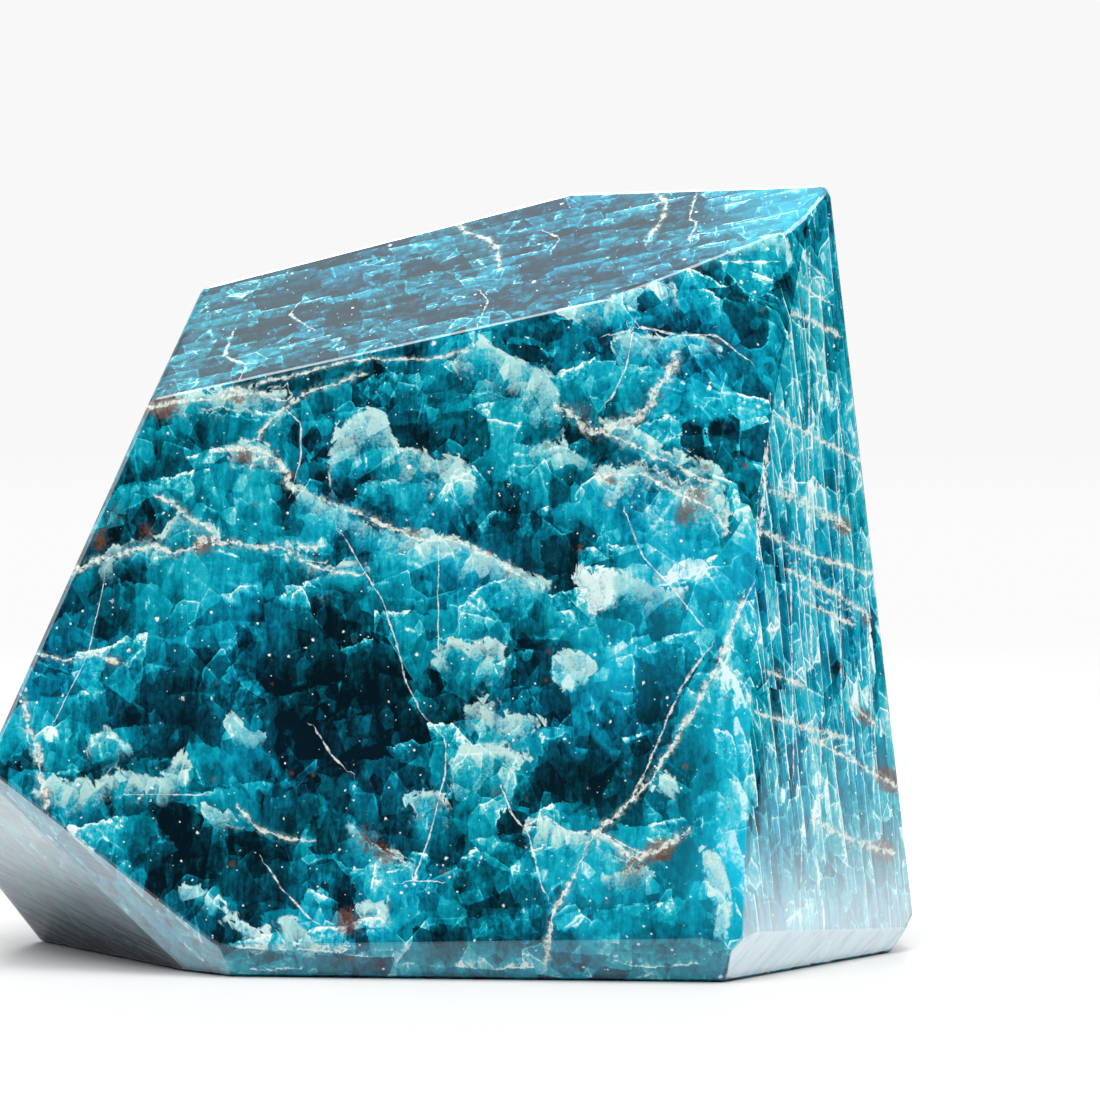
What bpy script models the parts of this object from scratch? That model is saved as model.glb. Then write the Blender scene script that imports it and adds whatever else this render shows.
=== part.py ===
"""A polished apatite freeform: one natural stone, ground to flat facets and rounded over at every edge.

The stone is described the way it is made. Each facet is a grinding plane, given by the way it faces,
how far it looks up or down, and how far it lies from a point inside the stone. The planes cut a
block, and the block's edges and corners are then rolled over by a small radius.

The frame is +Z up and -Y to the front. The origin is under the middle of the stone, where it rests.
"""

import math
from dataclasses import dataclass

import bmesh
import bpy
from mathutils import Matrix, Vector

# Sizes are in millimetres and angles in degrees
MM = 0.001
HEART_HEIGHT = 45.0
BLOCK_SIDE = 400.0
EDGE_ROUND = 1.3
ROUND_STEPS = 3
MERGE_DISTANCE = 1e-7

# The long upright edge between the front and the right face is a wider round that narrows upwards
SOFT_EDGE_FOOT_HEIGHT = 6.0
SOFT_EDGE_FOOT_RADIUS = 9.0
SOFT_EDGE_HEAD_HEIGHT = 84.0
SOFT_EDGE_HEAD_RADIUS = 2.5
SOFT_EDGE_SHARES = (0.2, 0.5, 0.8)

STONE_COLOUR = (0.015, 0.30, 0.38, 1.0)
STONE_ROUGHNESS = 0.12
STONE_IOR = 1.63


@dataclass(frozen=True)
class Facet:
    """One grinding plane.

    Facing is the turn about the vertical, 0 to the front and positive to the right. Lean is how far
    the facet looks up from the horizontal, and reach its distance from the heart of the stone.
    """

    name: str
    facing: float
    lean: float
    reach: float

    def normal(self) -> Vector:
        """The outward normal of the facet."""
        facing, lean = math.radians(self.facing), math.radians(self.lean)
        level = math.cos(lean)
        return Vector((math.sin(facing) * level, -math.cos(facing) * level, math.sin(lean)))

    def moved_in(self, inset: float) -> tuple[Vector, Vector]:
        """A point and the normal of the facet after it has moved in by inset, in metres."""
        normal = self.normal()
        return (heart() + normal * (self.reach - inset)) * MM, normal


FRONT = Facet("front", -5.4, 11.6, 22.0)
RIGHT = Facet("right", 52.0, 4.9, 46.8)

FACETS = (
    Facet("base", 0.0, -90.0, HEART_HEIGHT),
    FRONT,
    RIGHT,
    Facet("top", -22.4, 56.7, 35.3),
    Facet("shoulder", 5.6, 17.8, 29.5),
    Facet("cheek", 34.0, 12.5, 43.6),
    Facet("crown", 62.0, 42.0, 68.2),
    Facet("under_left", -52.5, -37.8, 57.2),
    Facet("left", -87.0, 24.4, 42.5),
    Facet("left_back", -135.3, -13.7, 48.6),
    Facet("back", -175.3, 16.1, 20.1),
    Facet("back_right", 160.5, 18.3, 28.5),
    Facet("right_back", 99.1, 6.8, 54.1),
    Facet("front_foot", -4.5, -22.8, 44.0),
    Facet("left_foot", -36.9, -28.9, 53.3),
    Facet("right_foot", 49.6, -21.0, 60.9),
    Facet("right_back_foot", 100.0, -36.0, 71.6),
    Facet("back_foot", 176.0, -38.0, 50.3),
)


def heart() -> Vector:
    """The point inside the stone from which every facet's reach is counted, in millimetres."""
    return Vector((0.0, 0.0, HEART_HEIGHT))


def ball_between(first: Facet, second: Facet, height: float, radius: float) -> Vector:
    """The centre of a ball of this radius, at this height, that touches two facets from inside."""
    normals = Matrix((first.normal(), second.normal(), (0.0, 0.0, 1.0)))
    depths = Vector((first.reach - radius, second.reach - radius, height - HEART_HEIGHT))
    return heart() + normals.inverted() @ depths


def soft_edge(first: Facet, second: Facet) -> list[Facet]:
    """Narrow facets that touch a tapered round between two facets, and so soften their edge."""
    low = ball_between(first, second, SOFT_EDGE_FOOT_HEIGHT, SOFT_EDGE_FOOT_RADIUS)
    high = ball_between(first, second, SOFT_EDGE_HEAD_HEIGHT, SOFT_EDGE_HEAD_RADIUS)
    along = (high - low).normalized()
    tilt = (SOFT_EDGE_FOOT_RADIUS - SOFT_EDGE_HEAD_RADIUS) / (high - low).length
    facets = []
    for share in SOFT_EDGE_SHARES:
        between = first.normal().lerp(second.normal(), share)
        across = (between - along * between.dot(along)).normalized()
        normal = across * math.sqrt(1.0 - tilt**2) + along * tilt
        touch = low + normal * SOFT_EDGE_FOOT_RADIUS
        facing = math.degrees(math.atan2(normal.x, -normal.y))
        lean = math.degrees(math.asin(normal.z))
        facets.append(Facet(f"soft_edge_{share}", facing, lean, normal.dot(touch - heart())))
    return facets


def cut_block(facets: list[Facet], inset: float) -> bmesh.types.BMesh:
    """A block cut down to the facets, each moved in by inset."""
    block = bmesh.new()
    bmesh.ops.create_cube(block, size=BLOCK_SIDE * MM)
    for facet in facets:
        point, normal = facet.moved_in(inset)
        cut = bmesh.ops.bisect_plane(
            block,
            geom=block.verts[:] + block.edges[:] + block.faces[:],
            dist=MERGE_DISTANCE,
            plane_co=point,
            plane_no=normal,
            clear_outer=True,
        )
        rim = [part for part in cut["geom_cut"] if isinstance(part, bmesh.types.BMEdge)]
        bmesh.ops.contextual_create(block, geom=rim)
    bmesh.ops.recalc_face_normals(block, faces=block.faces[:])
    block.normal_update()
    return block


class RoundedStone:
    """Rolls a ball over a cut block: facets move out by its radius, edges and corners turn round."""

    def __init__(self, core: bmesh.types.BMesh, radius: float, steps: int) -> None:
        self.core = core
        self.radius = radius
        self.steps = steps
        self.shell = bmesh.new()
        self.points: dict[tuple, bmesh.types.BMVert] = {}

    def point(self, key: tuple, corner: bmesh.types.BMVert, way: Vector) -> bmesh.types.BMVert:
        """The surface point at this corner's ball in one direction, made once for each key."""
        if key not in self.points:
            place = corner.co + way.normalized() * self.radius
            self.points[key] = self.shell.verts.new(place)
        return self.points[key]

    def on_facet(self, corner: bmesh.types.BMVert, face: bmesh.types.BMFace) -> bmesh.types.BMVert:
        """Where the corner's ball touches a facet."""
        return self.point(("facet", corner.index, face.index), corner, face.normal)

    def on_edge(
        self,
        corner: bmesh.types.BMVert,
        start: bmesh.types.BMFace,
        end: bmesh.types.BMFace,
        step: int,
    ) -> bmesh.types.BMVert:
        """A point on the corner's arc from one facet round to the next."""
        if step in (0, self.steps):
            return self.on_facet(corner, end if step else start)
        if start.index > end.index:
            start, end, step = end, start, self.steps - step
        way = start.normal.slerp(end.normal, step / self.steps)
        return self.point(("edge", corner.index, start.index, end.index, step), corner, way)

    def add_facets(self) -> None:
        """The flat facets."""
        for face in self.core.faces:
            self.shell.faces.new([self.on_facet(corner, face) for corner in face.verts])

    def add_edges(self) -> None:
        """The rounded strip along each edge."""
        for edge in self.core.edges:
            loop = edge.link_loops[0]
            start, end = loop.face, loop.link_loop_radial_next.face
            near, far = loop.vert, loop.link_loop_next.vert
            for step in range(self.steps):
                self.shell.faces.new(
                    [
                        self.on_edge(far, start, end, step),
                        self.on_edge(near, start, end, step),
                        self.on_edge(near, start, end, step + 1),
                        self.on_edge(far, start, end, step + 1),
                    ]
                )

    def faces_around(self, corner: bmesh.types.BMVert) -> list[bmesh.types.BMFace]:
        """The facets that meet at a corner, in turn."""
        first = corner.link_loops[0]
        loop, faces = first, []
        while True:
            faces.append(loop.face)
            loop = loop.link_loop_prev.link_loop_radial_next
            if loop == first:
                return faces

    def add_corner(self, corner: bmesh.types.BMVert) -> None:
        """The rounded patch at one corner, as rings that close in on its middle."""
        faces = self.faces_around(corner)
        ring = [
            self.on_edge(corner, face, faces[(number + 1) % len(faces)], step)
            for number, face in enumerate(faces)
            for step in range(self.steps)
        ]
        middle = sum((face.normal for face in faces), Vector()).normalized()
        for depth in range(1, self.steps):
            inner = []
            for number, outer in enumerate(ring):
                out = (outer.co - corner.co).normalized()
                way = out.lerp(middle, 1.0 / (self.steps - depth + 1))
                inner.append(self.point(("ring", corner.index, depth, number), corner, way))
            for number in range(len(ring)):
                after = (number + 1) % len(ring)
                self.shell.faces.new([ring[number], ring[after], inner[after], inner[number]])
            ring = inner
        tip = self.point(("tip", corner.index), corner, middle)
        for number, near in enumerate(ring):
            self.shell.faces.new([near, ring[(number + 1) % len(ring)], tip])

    def build(self) -> bmesh.types.BMesh:
        """The whole rounded surface."""
        self.add_facets()
        self.add_edges()
        for corner in self.core.verts:
            self.add_corner(corner)
        return self.shell


def stand_on_origin(stone: bmesh.types.BMesh) -> None:
    """Moves the stone so that the middle of its box is above the origin and its base is at zero."""
    places = [vert.co for vert in stone.verts]
    low = Vector([min(place[axis] for place in places) for axis in range(3)])
    high = Vector([max(place[axis] for place in places) for axis in range(3)])
    middle = (low + high) / 2
    bmesh.ops.translate(stone, verts=stone.verts[:], vec=(-middle.x, -middle.y, -low.z))


def polished_apatite() -> bpy.types.Material:
    """The stone's polished blue-green surface."""
    material = bpy.data.materials.new("polished_apatite")
    material.diffuse_color = STONE_COLOUR
    material.use_nodes = True
    surface = material.node_tree.nodes["Principled BSDF"]
    surface.inputs["Base Color"].default_value = STONE_COLOUR
    surface.inputs["Roughness"].default_value = STONE_ROUGHNESS
    surface.inputs["Metallic"].default_value = 0.0
    surface.inputs["IOR"].default_value = STONE_IOR
    return material


def make_stone() -> bpy.types.Object:
    """The finished stone, one closed solid."""
    facets = [*FACETS, *soft_edge(FRONT, RIGHT)]
    core = cut_block(facets, EDGE_ROUND)
    core.verts.index_update()
    core.faces.index_update()
    stone = RoundedStone(core, EDGE_ROUND * MM, ROUND_STEPS).build()
    stand_on_origin(stone)
    mesh = bpy.data.meshes.new("apatite_freeform")
    stone.to_mesh(mesh)
    stone.free()
    core.free()
    mesh.shade_smooth()
    mesh.set_sharp_from_angle(angle=math.radians(35.0))
    mesh.materials.append(polished_apatite())
    obj = bpy.data.objects.new("apatite_freeform", mesh)
    bpy.context.scene.collection.objects.link(obj)
    # Weighting by area keeps the large facets flat in the light beside their narrow rounds
    normals = obj.modifiers.new("flat_facets", "WEIGHTED_NORMAL")
    normals.keep_sharp = True
    return obj


def main() -> None:
    """Clears the scene and makes the stone."""
    for obj in list(bpy.data.objects):
        bpy.data.objects.remove(obj, do_unlink=True)
    make_stone()


main()
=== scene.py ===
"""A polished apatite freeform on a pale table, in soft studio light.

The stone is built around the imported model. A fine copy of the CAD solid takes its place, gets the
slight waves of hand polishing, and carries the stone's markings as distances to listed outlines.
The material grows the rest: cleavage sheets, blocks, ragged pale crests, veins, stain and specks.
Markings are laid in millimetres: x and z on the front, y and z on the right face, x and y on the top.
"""

import logging
import math
from dataclasses import dataclass
from enum import Enum

import bmesh
import bpy
import numpy as np
from mathutils import Euler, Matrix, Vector


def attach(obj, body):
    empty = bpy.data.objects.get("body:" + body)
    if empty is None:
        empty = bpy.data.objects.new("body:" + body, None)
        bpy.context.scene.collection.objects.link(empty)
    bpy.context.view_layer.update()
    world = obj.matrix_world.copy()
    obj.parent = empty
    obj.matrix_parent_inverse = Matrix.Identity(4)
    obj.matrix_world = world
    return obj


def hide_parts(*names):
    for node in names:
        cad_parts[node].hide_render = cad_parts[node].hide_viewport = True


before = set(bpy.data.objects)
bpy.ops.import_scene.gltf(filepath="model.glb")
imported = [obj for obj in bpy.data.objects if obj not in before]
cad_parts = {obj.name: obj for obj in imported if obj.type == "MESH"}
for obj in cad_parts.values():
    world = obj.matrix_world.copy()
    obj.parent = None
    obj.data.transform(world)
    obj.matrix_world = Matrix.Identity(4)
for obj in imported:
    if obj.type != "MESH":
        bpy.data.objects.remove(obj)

LOG = logging.getLogger("apatite")
MM = 0.001
STONE = "apatite_freeform"
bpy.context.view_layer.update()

Points = tuple[tuple[float, float], ...]
Colour = tuple[float, float, float, float]
OUTSIDE = 6.0


def srgb(code: str) -> Colour:
    """A linear colour from a six-digit screen code.

    Args:
        code: the colour as hexadecimal red, green and blue.

    Returns:
        Red, green, blue and a full alpha.
    """
    parts = [int(code[at : at + 2], 16) / 255 for at in (0, 2, 4)]
    linear = [part / 12.92 if part <= 0.04045 else ((part + 0.055) / 1.055) ** 2.4 for part in parts]
    return (linear[0], linear[1], linear[2], 1.0)


def facing(turn: float, lean: float) -> np.ndarray:
    """The direction of a facet.

    Args:
        turn: degrees about the vertical, 0 to the front and positive to the right.
        lean: degrees above the horizontal.

    Returns:
        A unit vector.
    """
    across, up = math.radians(turn), math.radians(lean)
    level = math.cos(up)
    return np.array([math.sin(across) * level, -math.cos(across) * level, math.sin(up)])


def smooth(low: float, high: float, value: np.ndarray) -> np.ndarray:
    """A smooth step from 0 at low to 1 at high. High may be the smaller."""
    share = np.clip((value - low) / (high - low), 0.0, 1.0)
    return share * share * (3.0 - 2.0 * share)


class Side(Enum):
    """The sides that carry listed markings."""

    FRONT = "front"
    RIGHT = "right"
    TOP = "top"


@dataclass(frozen=True)
class Pane:
    """A block of one tone, from 0 for near black to 1 for white.

    Its outline is a loop in millimetres.
    """

    name: str
    tone: float
    outline: Points


@dataclass(frozen=True)
class Shelf:
    """A pale crest with a ragged upper edge, which fades over some millimetres below that edge."""

    name: str
    white: float
    fade: float
    outline: Points


@dataclass(frozen=True)
class Vein:
    """A mineral seam: its half width in millimetres, how brown it is, and the line that it follows."""

    name: str
    width: float
    rust: float
    line: Points


@dataclass(frozen=True)
class Spot:
    """A soft round patch of a field: its middle, its radius in millimetres and its strength."""

    name: str
    at: tuple[float, float]
    radius: float
    strength: float


FRONT_PANES = (
    Pane("west_wall", 0.42, ((-35, 69), (-24, 68), (-17, 66), (-20, 54), (-28, 57), (-38, 57))),
    Pane("west_window", 0.28, ((-45, 48), (-36, 48), (-37, 42), (-42, 40), (-45, 44))),
    Pane("west_block", 0.53, ((-35, 50), (-27, 52), (-22, 50), (-21, 44), (-25, 39), (-35, 41))),
    Pane("slate_step", 0.30, ((-21, 51), (-17, 51), (-12, 47), (-13, 45), (-22, 46))),
    Pane("deep_heart", 0.15, (
        (-22, 46), (-12, 45), (-5, 40), (-1, 31), (1, 29), (-1, 17), (-8, 18), (-15, 23), (-25, 33),
        (-23, 40),
    )),
    Pane("deep_west", 0.15, ((-35, 37), (-29, 38), (-27, 32), (-30, 27), (-36, 26), (-38, 31))),
    Pane("upper_pit", 0.18, ((-15, 64), (-8, 64), (-8, 58), (-13, 58), (-16, 61))),
    Pane("upper_slot", 0.22, ((-20, 61), (-17, 60), (-17, 54), (-20, 54))),
    Pane("ridge_sheet", 0.38, ((-10, 73), (-6, 75), (0, 75), (4, 73), (6, 70), (1, 69), (-8, 69))),
    Pane("crest_block", 0.43, ((0, 68), (5, 68), (6, 64), (2, 62), (0, 64))),
    Pane("dark_row", 0.10, ((-5, 67), (-1, 67), (-1, 64), (1, 62), (-4, 64))),
    Pane("broad_night", 0.22, (
        (5, 62), (8, 60), (11, 62), (13, 57), (18, 57), (20, 54), (19, 50), (17, 46), (12, 48),
        (8, 51), (4, 55),
    )),
    Pane("low_crest_face", 0.42, ((12, 64), (20, 63), (22, 59), (19, 55), (14, 56), (12, 60))),
    Pane("right_sheet", 0.52, ((21, 60), (25, 57), (34, 56), (36, 50), (32, 48), (24, 49), (21, 54))),
    Pane("under_crest", 0.15, ((16, 66), (21, 67), (27, 66), (24, 64), (18, 62))),
    Pane("ridge_blue", 0.43, ((8, 79), (15, 80), (20, 79), (22, 70), (17, 70), (15, 75), (9, 77))),
    Pane("peak_net", 0.50, ((22, 78), (34, 78), (37, 71), (36, 66), (30, 67), (24, 69))),
    Pane("peak_light", 0.60, ((36, 87), (42, 87), (42, 83), (38, 83))),
    Pane("teal_floor", 0.47, (
        (-12, 54), (-1, 53), (8, 50), (17, 46), (19, 41), (1, 41), (-4, 43), (-10, 48),
    )),
    Pane("blue_slab", 0.46, ((17, 41), (20, 44), (25, 43), (25, 33), (22, 27), (19, 30), (20, 36))),
    Pane("low_pool", 0.14, ((14, 29), (20, 30), (23, 27), (21, 21), (16, 20), (13, 24))),
    Pane("low_strip", 0.20, ((-1, 14), (5, 15), (14, 12), (14, 8), (6, 8), (0, 12))),
    Pane("crack_blue", 0.36, ((24, 26), (26, 30), (33, 31), (36, 24), (34, 18), (27, 17), (24, 20))),
    Pane("low_turquoise", 0.62, ((-9, 13), (-1, 14), (-1, 8), (-4, 6), (-9, 7))),
    Pane("foot_turquoise", 0.63, ((12, 16), (20, 17), (20, 8), (16, 6), (14, 10))),
    Pane("foot_blue", 0.45, ((20, 15), (28, 15), (33, 12), (34, 5), (19, 5))),
    Pane("corner_light", 0.63, ((36, 41), (39, 36), (40, 28), (40, 4), (34, 4), (35, 15), (34, 25))),
    Pane("low_west", 0.20, ((-36, 14), (-31, 18), (-24, 19), (-17, 15), (-17, 9), (-30, 9))),
    Pane("west_light", 0.54, ((-50, 37), (-40, 36), (-39, 27), (-46, 24), (-51, 29))),
    Pane("west_corner", 0.50, ((-46, 20), (-38, 21), (-37, 14), (-43, 16))),
    Pane("grey_knot", 0.66, ((-21, 8), (-16, 9), (-11, 8), (-10, 3), (-19, 3))),
)

FRONT_FLAKES = (
    Pane("dark_wedge", 0.04, ((-34, 21), (-29, 21), (-27, 19), (-30, 15), (-33, 18))),
    Pane("west_flake", 0.56, ((-30, 28), (-25, 28), (-22, 28), (-22, 23), (-28, 23))),
    Pane("ridge_eye", 0.03, ((9, 77), (13, 77), (15, 75), (13, 74), (10, 75))),
    Pane("pillar_left", 0.03, ((31, 67), (33, 68), (34, 61), (31, 62))),
    Pane("pillar_right", 0.04, ((34, 68), (38, 68), (37, 61), (35, 60))),
    Pane("shelf_gap", 0.05, ((13, 53), (18, 54), (18, 48), (14, 49))),
    Pane("right_hollow", 0.24, ((32, 48), (36, 46), (35, 42), (33, 44))),
    Pane("slab_shadow", 0.07, ((25, 39), (28, 38), (28, 31), (25, 31))),
    Pane("crack_hollow", 0.12, ((28, 41), (31, 41), (30, 37), (28, 36))),
    Pane("tooth_shadow", 0.13, ((10, 40), (14, 41), (15, 36), (11, 35))),
    Pane("low_window", 0.12, ((9, 21), (12, 20), (12, 16), (8, 17))),
    Pane("peak_night", 0.13, (
        (36, 86), (38, 84), (40, 82), (42, 82), (42, 78), (40, 76), (38, 77), (36, 81),
    )),
    Pane("peak_bubble", 0.60, ((31, 72), (34, 74), (37, 71), (36, 67), (32, 67))),
    Pane("heart_flake", 0.32, ((-14, 20), (-10, 20), (-9, 17), (-13, 14), (-15, 17))),
    Pane("band_light", 0.46, ((-24, 37), (-22, 37), (-19, 34), (-20, 33), (-23, 35))),
)

FRONT_SHELVES = (
    Shelf("west_ridge", 0.80, 9, (
        (-34, 69), (-29, 71), (-25, 71), (-18, 71), (-19, 67), (-23, 69), (-31, 68),
    )),
    Shelf("west_knot", 0.75, 9, ((-25, 64), (-21, 65), (-19, 64), (-18, 61), (-20, 62), (-24, 62))),
    Shelf("west_band", 0.70, 6, (
        (-41, 50), (-37, 53), (-33, 53), (-31, 56), (-27, 55), (-26, 53), (-28, 51), (-34, 50),
        (-40, 48),
    )),
    Shelf("second_step", 0.66, 6, (
        (-18, 53), (-13, 50), (-10, 50), (-8, 51), (-8, 47), (-14, 47), (-17, 50),
    )),
    Shelf("long_step", 0.78, 8, (
        (-17, 60), (-11, 57), (-5, 54), (0, 54), (6, 52), (10, 50), (15, 48), (12, 45), (5, 47),
        (-6, 50), (-12, 53),
    )),
    Shelf("ragged_crest", 0.84, 13, (
        (-11, 67), (-8, 69), (-6, 68), (-5, 66), (-4, 64), (-1, 64), (0, 62), (3, 63), (5, 62),
        (5, 58), (3, 60), (2, 57), (0, 59), (-2, 56), (-5, 57), (-9, 56), (-12, 58), (-13, 62),
    )),
    Shelf("cracked_crest", 0.78, 12, (
        (2, 75), (6, 78), (9, 76), (14, 74), (16, 71), (16, 66), (12, 65), (7, 66), (6, 68),
        (10, 70), (4, 72),
    )),
    Shelf("ridge_haze", 0.74, 9, ((16, 81), (22, 84), (30, 85), (31, 81), (26, 78), (20, 79))),
    Shelf("crest_band", 0.80, 7, (
        (21, 68), (25, 67), (29, 64), (36, 62), (36, 59), (31, 60), (25, 63), (22, 65),
    )),
    Shelf("low_crest", 0.74, 7, ((12, 64), (14, 65), (17, 64), (20, 63), (20, 61), (13, 61))),
    Shelf("rusty_step", 0.88, 11, (
        (20, 61), (23, 62), (26, 62), (31, 60), (36, 60), (36, 54), (31, 55), (23, 56),
    )),
    Shelf("net_top", 0.66, 7, ((22, 78), (26, 78), (34, 78), (36, 76), (29, 75), (24, 74))),
    Shelf("white_chip", 0.93, 30, ((19, 51), (20, 49), (23, 49), (23, 45), (20, 44), (19, 47), (18, 48))),
    Shelf("chip_tail", 0.68, 8, ((23, 49), (27, 48), (31, 47), (30, 44), (23, 45))),
    Shelf("tooth", 0.84, 8, (
        (2, 41), (5, 40), (8, 41), (9, 40), (9, 37), (4, 36), (2, 37), (0, 37), (0, 39), (2, 39),
    )),
    Shelf("lens", 0.82, 40, ((15, 40), (17, 40), (20, 38), (19, 36), (17, 35), (15, 37))),
    Shelf("sandy_lens", 0.86, 9, (
        (4, 33), (8, 34), (8, 32), (13, 32), (14, 31), (12, 29), (6, 29), (4, 31),
    )),
    Shelf("square_step", 0.84, 13, ((4, 28), (8, 28), (12, 27), (10, 25), (9, 21), (4, 20), (2, 24))),
    Shelf("low_veil", 0.60, 9, ((-3, 22), (1, 23), (3, 20), (1, 16), (-1, 17), (-2, 20))),
    Shelf("foot_lens", 0.84, 6, (
        (12, 19), (14, 20), (16, 18), (20, 18), (25, 16), (25, 15), (20, 15), (12, 16),
    )),
    Shelf("foot_scrap", 0.70, 8, ((21, 13), (25, 14), (27, 13), (26, 9), (23, 10))),
    Shelf("tiny_window", 0.80, 20, ((28, 25), (30, 25), (30, 22), (27, 23))),
    Shelf("rusty_foot", 0.68, 6, ((-10, 19), (-6, 16), (-1, 14), (-3, 12), (-9, 13))),
    Shelf("white_wedge", 0.88, 14, ((-9, 9), (-5, 10), (-5, 7), (-7, 7))),
    Shelf("corner_rim", 0.86, 40, ((33, 16), (35, 16), (36, 12), (36, 5), (34, 8))),
    Shelf("west_ragged", 0.84, 8, (
        (-42, 22), (-38, 25), (-33, 24), (-30, 27), (-29, 24), (-33, 21), (-38, 21),
    )),
    Shelf("west_smoke", 0.64, 7, ((-25, 32), (-22, 30), (-20, 30), (-22, 28), (-25, 29))),
    Shelf("low_knots", 0.72, 6, ((-28, 21), (-25, 20), (-22, 20), (-23, 18), (-27, 19))),
    Shelf("west_mottle", 0.64, 6, ((-42, 28), (-40, 30), (-38, 29), (-36, 27), (-41, 26))),
    Shelf("corner_cluster", 0.84, 9, ((-49, 22), (-46, 24), (-42, 24), (-40, 21), (-45, 19))),
    Shelf("foot_spike", 0.90, 20, ((-27, 11), (-25, 9), (-23, 8), (-23, 6), (-25, 7))),
    Shelf("white_clot", 0.92, 20, ((-24, 7), (-22, 7), (-21, 6), (-20, 7), (-19, 6), (-20, 3), (-22, 3))),
    Shelf("clot_east", 0.82, 14, ((-18, 7), (-16, 7), (-13, 4), (-14, 3), (-17, 4))),
    Shelf("peak_cap", 0.80, 5, ((36, 88), (40, 91), (44, 90), (44, 87), (41, 89))),
    Shelf("west_foot", 0.66, 5, ((-30, 11), (-27, 11), (-25, 9), (-29, 8))),
)

FRONT_VEINS = (
    Vein("west_seam", 0.34, 0.6, (
        (-46, 48), (-42, 50), (-38, 51), (-35, 52), (-31, 51), (-27, 53), (-22, 52), (-14, 52),
    )),
    Vein("west_fork", 0.18, 0.3, ((-18, 52), (-15, 50), (-13, 49), (-9, 49))),
    Vein("west_spur", 0.30, 0.5, ((-33, 58), (-30, 56), (-27, 54), (-26, 52))),
    Vein("west_low", 0.24, 0.3, ((-49, 39), (-45, 38), (-42, 39), (-38, 38))),
    Vein("long_rim", 0.26, 0.6, (
        (-18, 60), (-14, 58), (-8, 56), (-2, 53), (3, 53), (7, 51), (9, 50), (12, 48),
    )),
    Vein("ridge_curl", 0.26, 0.2, ((-9, 73), (-15, 71), (-18, 69), (-21, 66), (-22, 62))),
    Vein("west_ridge_seam", 0.24, 0.7, ((-35, 69), (-31, 70), (-27, 70), (-23, 71), (-18, 70))),
    Vein("west_knot_seam", 0.30, 0.6, ((-26, 64), (-22, 64), (-19, 63), (-17, 60))),
    Vein("feather", 0.55, 0.4, (
        (16, 69), (18, 68), (20, 66), (22, 67), (25, 68), (27, 70), (29, 73), (30, 75),
    )),
    Vein("feather_tail", 0.28, 0.1, ((22, 66), (24, 65), (28, 63), (32, 61), (35, 60))),
    Vein("rusty_seam", 0.24, 0.8, ((21, 61), (26, 61), (30, 59), (34, 57), (36, 55))),
    Vein("main_crack", 0.30, 0.1, (
        (38, 46), (36, 40), (34, 36), (31, 31), (28, 26), (25, 22), (20, 18), (17, 12), (15, 8),
        (14, 2),
    )),
    Vein("brown_seam", 0.32, 1.0, ((21, 18), (25, 15), (28, 16), (31, 18))),
    Vein("white_squiggle", 0.24, 0.0, ((-23, 20), (-21, 18), (-18, 17), (-15, 17))),
    Vein("west_crack", 0.40, 0.1, ((-50, 33), (-49, 29), (-48, 26), (-47, 21))),
    Vein("corner_seam", 0.22, 0.0, ((38, 36), (40, 33), (41, 28), (41, 5))),
    Vein("ridge_seam", 0.16, 0.3, ((-26, 71), (-17, 73), (-9, 75), (0, 75), (4, 76))),
)

FRONT_HAIRS = (
    Vein("heart_hair", 0.10, 0.1, (
        (-11, 54), (-8, 49), (-6, 46), (-4, 40), (-3, 36), (-1, 32), (2, 29), (2, 25), (0, 17),
        (-2, 12),
    )),
    Vein("twin_crack", 0.17, 0.0, ((34, 40), (31, 36), (29, 32), (27, 27), (25, 23))),
    Vein("tooth_hair", 0.08, 0.0, ((1, 53), (1, 47), (1, 40))),
    Vein("north_hair", 0.13, 0.0, ((36, 41), (38, 45), (40, 49), (40, 56), (41, 64))),
    Vein("net_hair", 0.13, 0.3, ((22, 78), (26, 79), (30, 78), (35, 78), (39, 75))),
    Vein("net_fall", 0.10, 0.0, ((25, 79), (24, 74), (22, 70))),
    Vein("foot_hair", 0.12, 0.1, ((9, 23), (10, 20), (12, 18), (13, 14), (14, 11))),
    Vein("foot_rim", 0.16, 0.1, ((12, 19), (14, 20), (17, 18), (21, 18), (25, 16))),
    Vein("straight_west", 0.08, 0.0, ((-37, 22), (-28, 22))),
    Vein("straight_low", 0.07, 0.0, ((-3, 12), (1, 12))),
    Vein("low_west_hair", 0.12, 0.2, ((-20, 14), (-18, 11), (-16, 9), (-14, 7))),
    Vein("west_hair", 0.06, 0.2, ((-40, 49), (-41, 44), (-42, 39), (-46, 31))),
    Vein("peak_tick", 0.22, 0.0, ((38, 87), (42, 87))),
    Vein("net_right", 0.10, 0.1, ((24, 56), (26, 51), (29, 48), (33, 43))),
    Vein("heart_tick", 0.12, 0.2, ((-14, 30), (-12, 27), (-10, 25))),
    Vein("west_arc", 0.10, 0.0, ((-18, 69), (-16, 67), (-16, 63), (-17, 59))),
)

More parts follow.
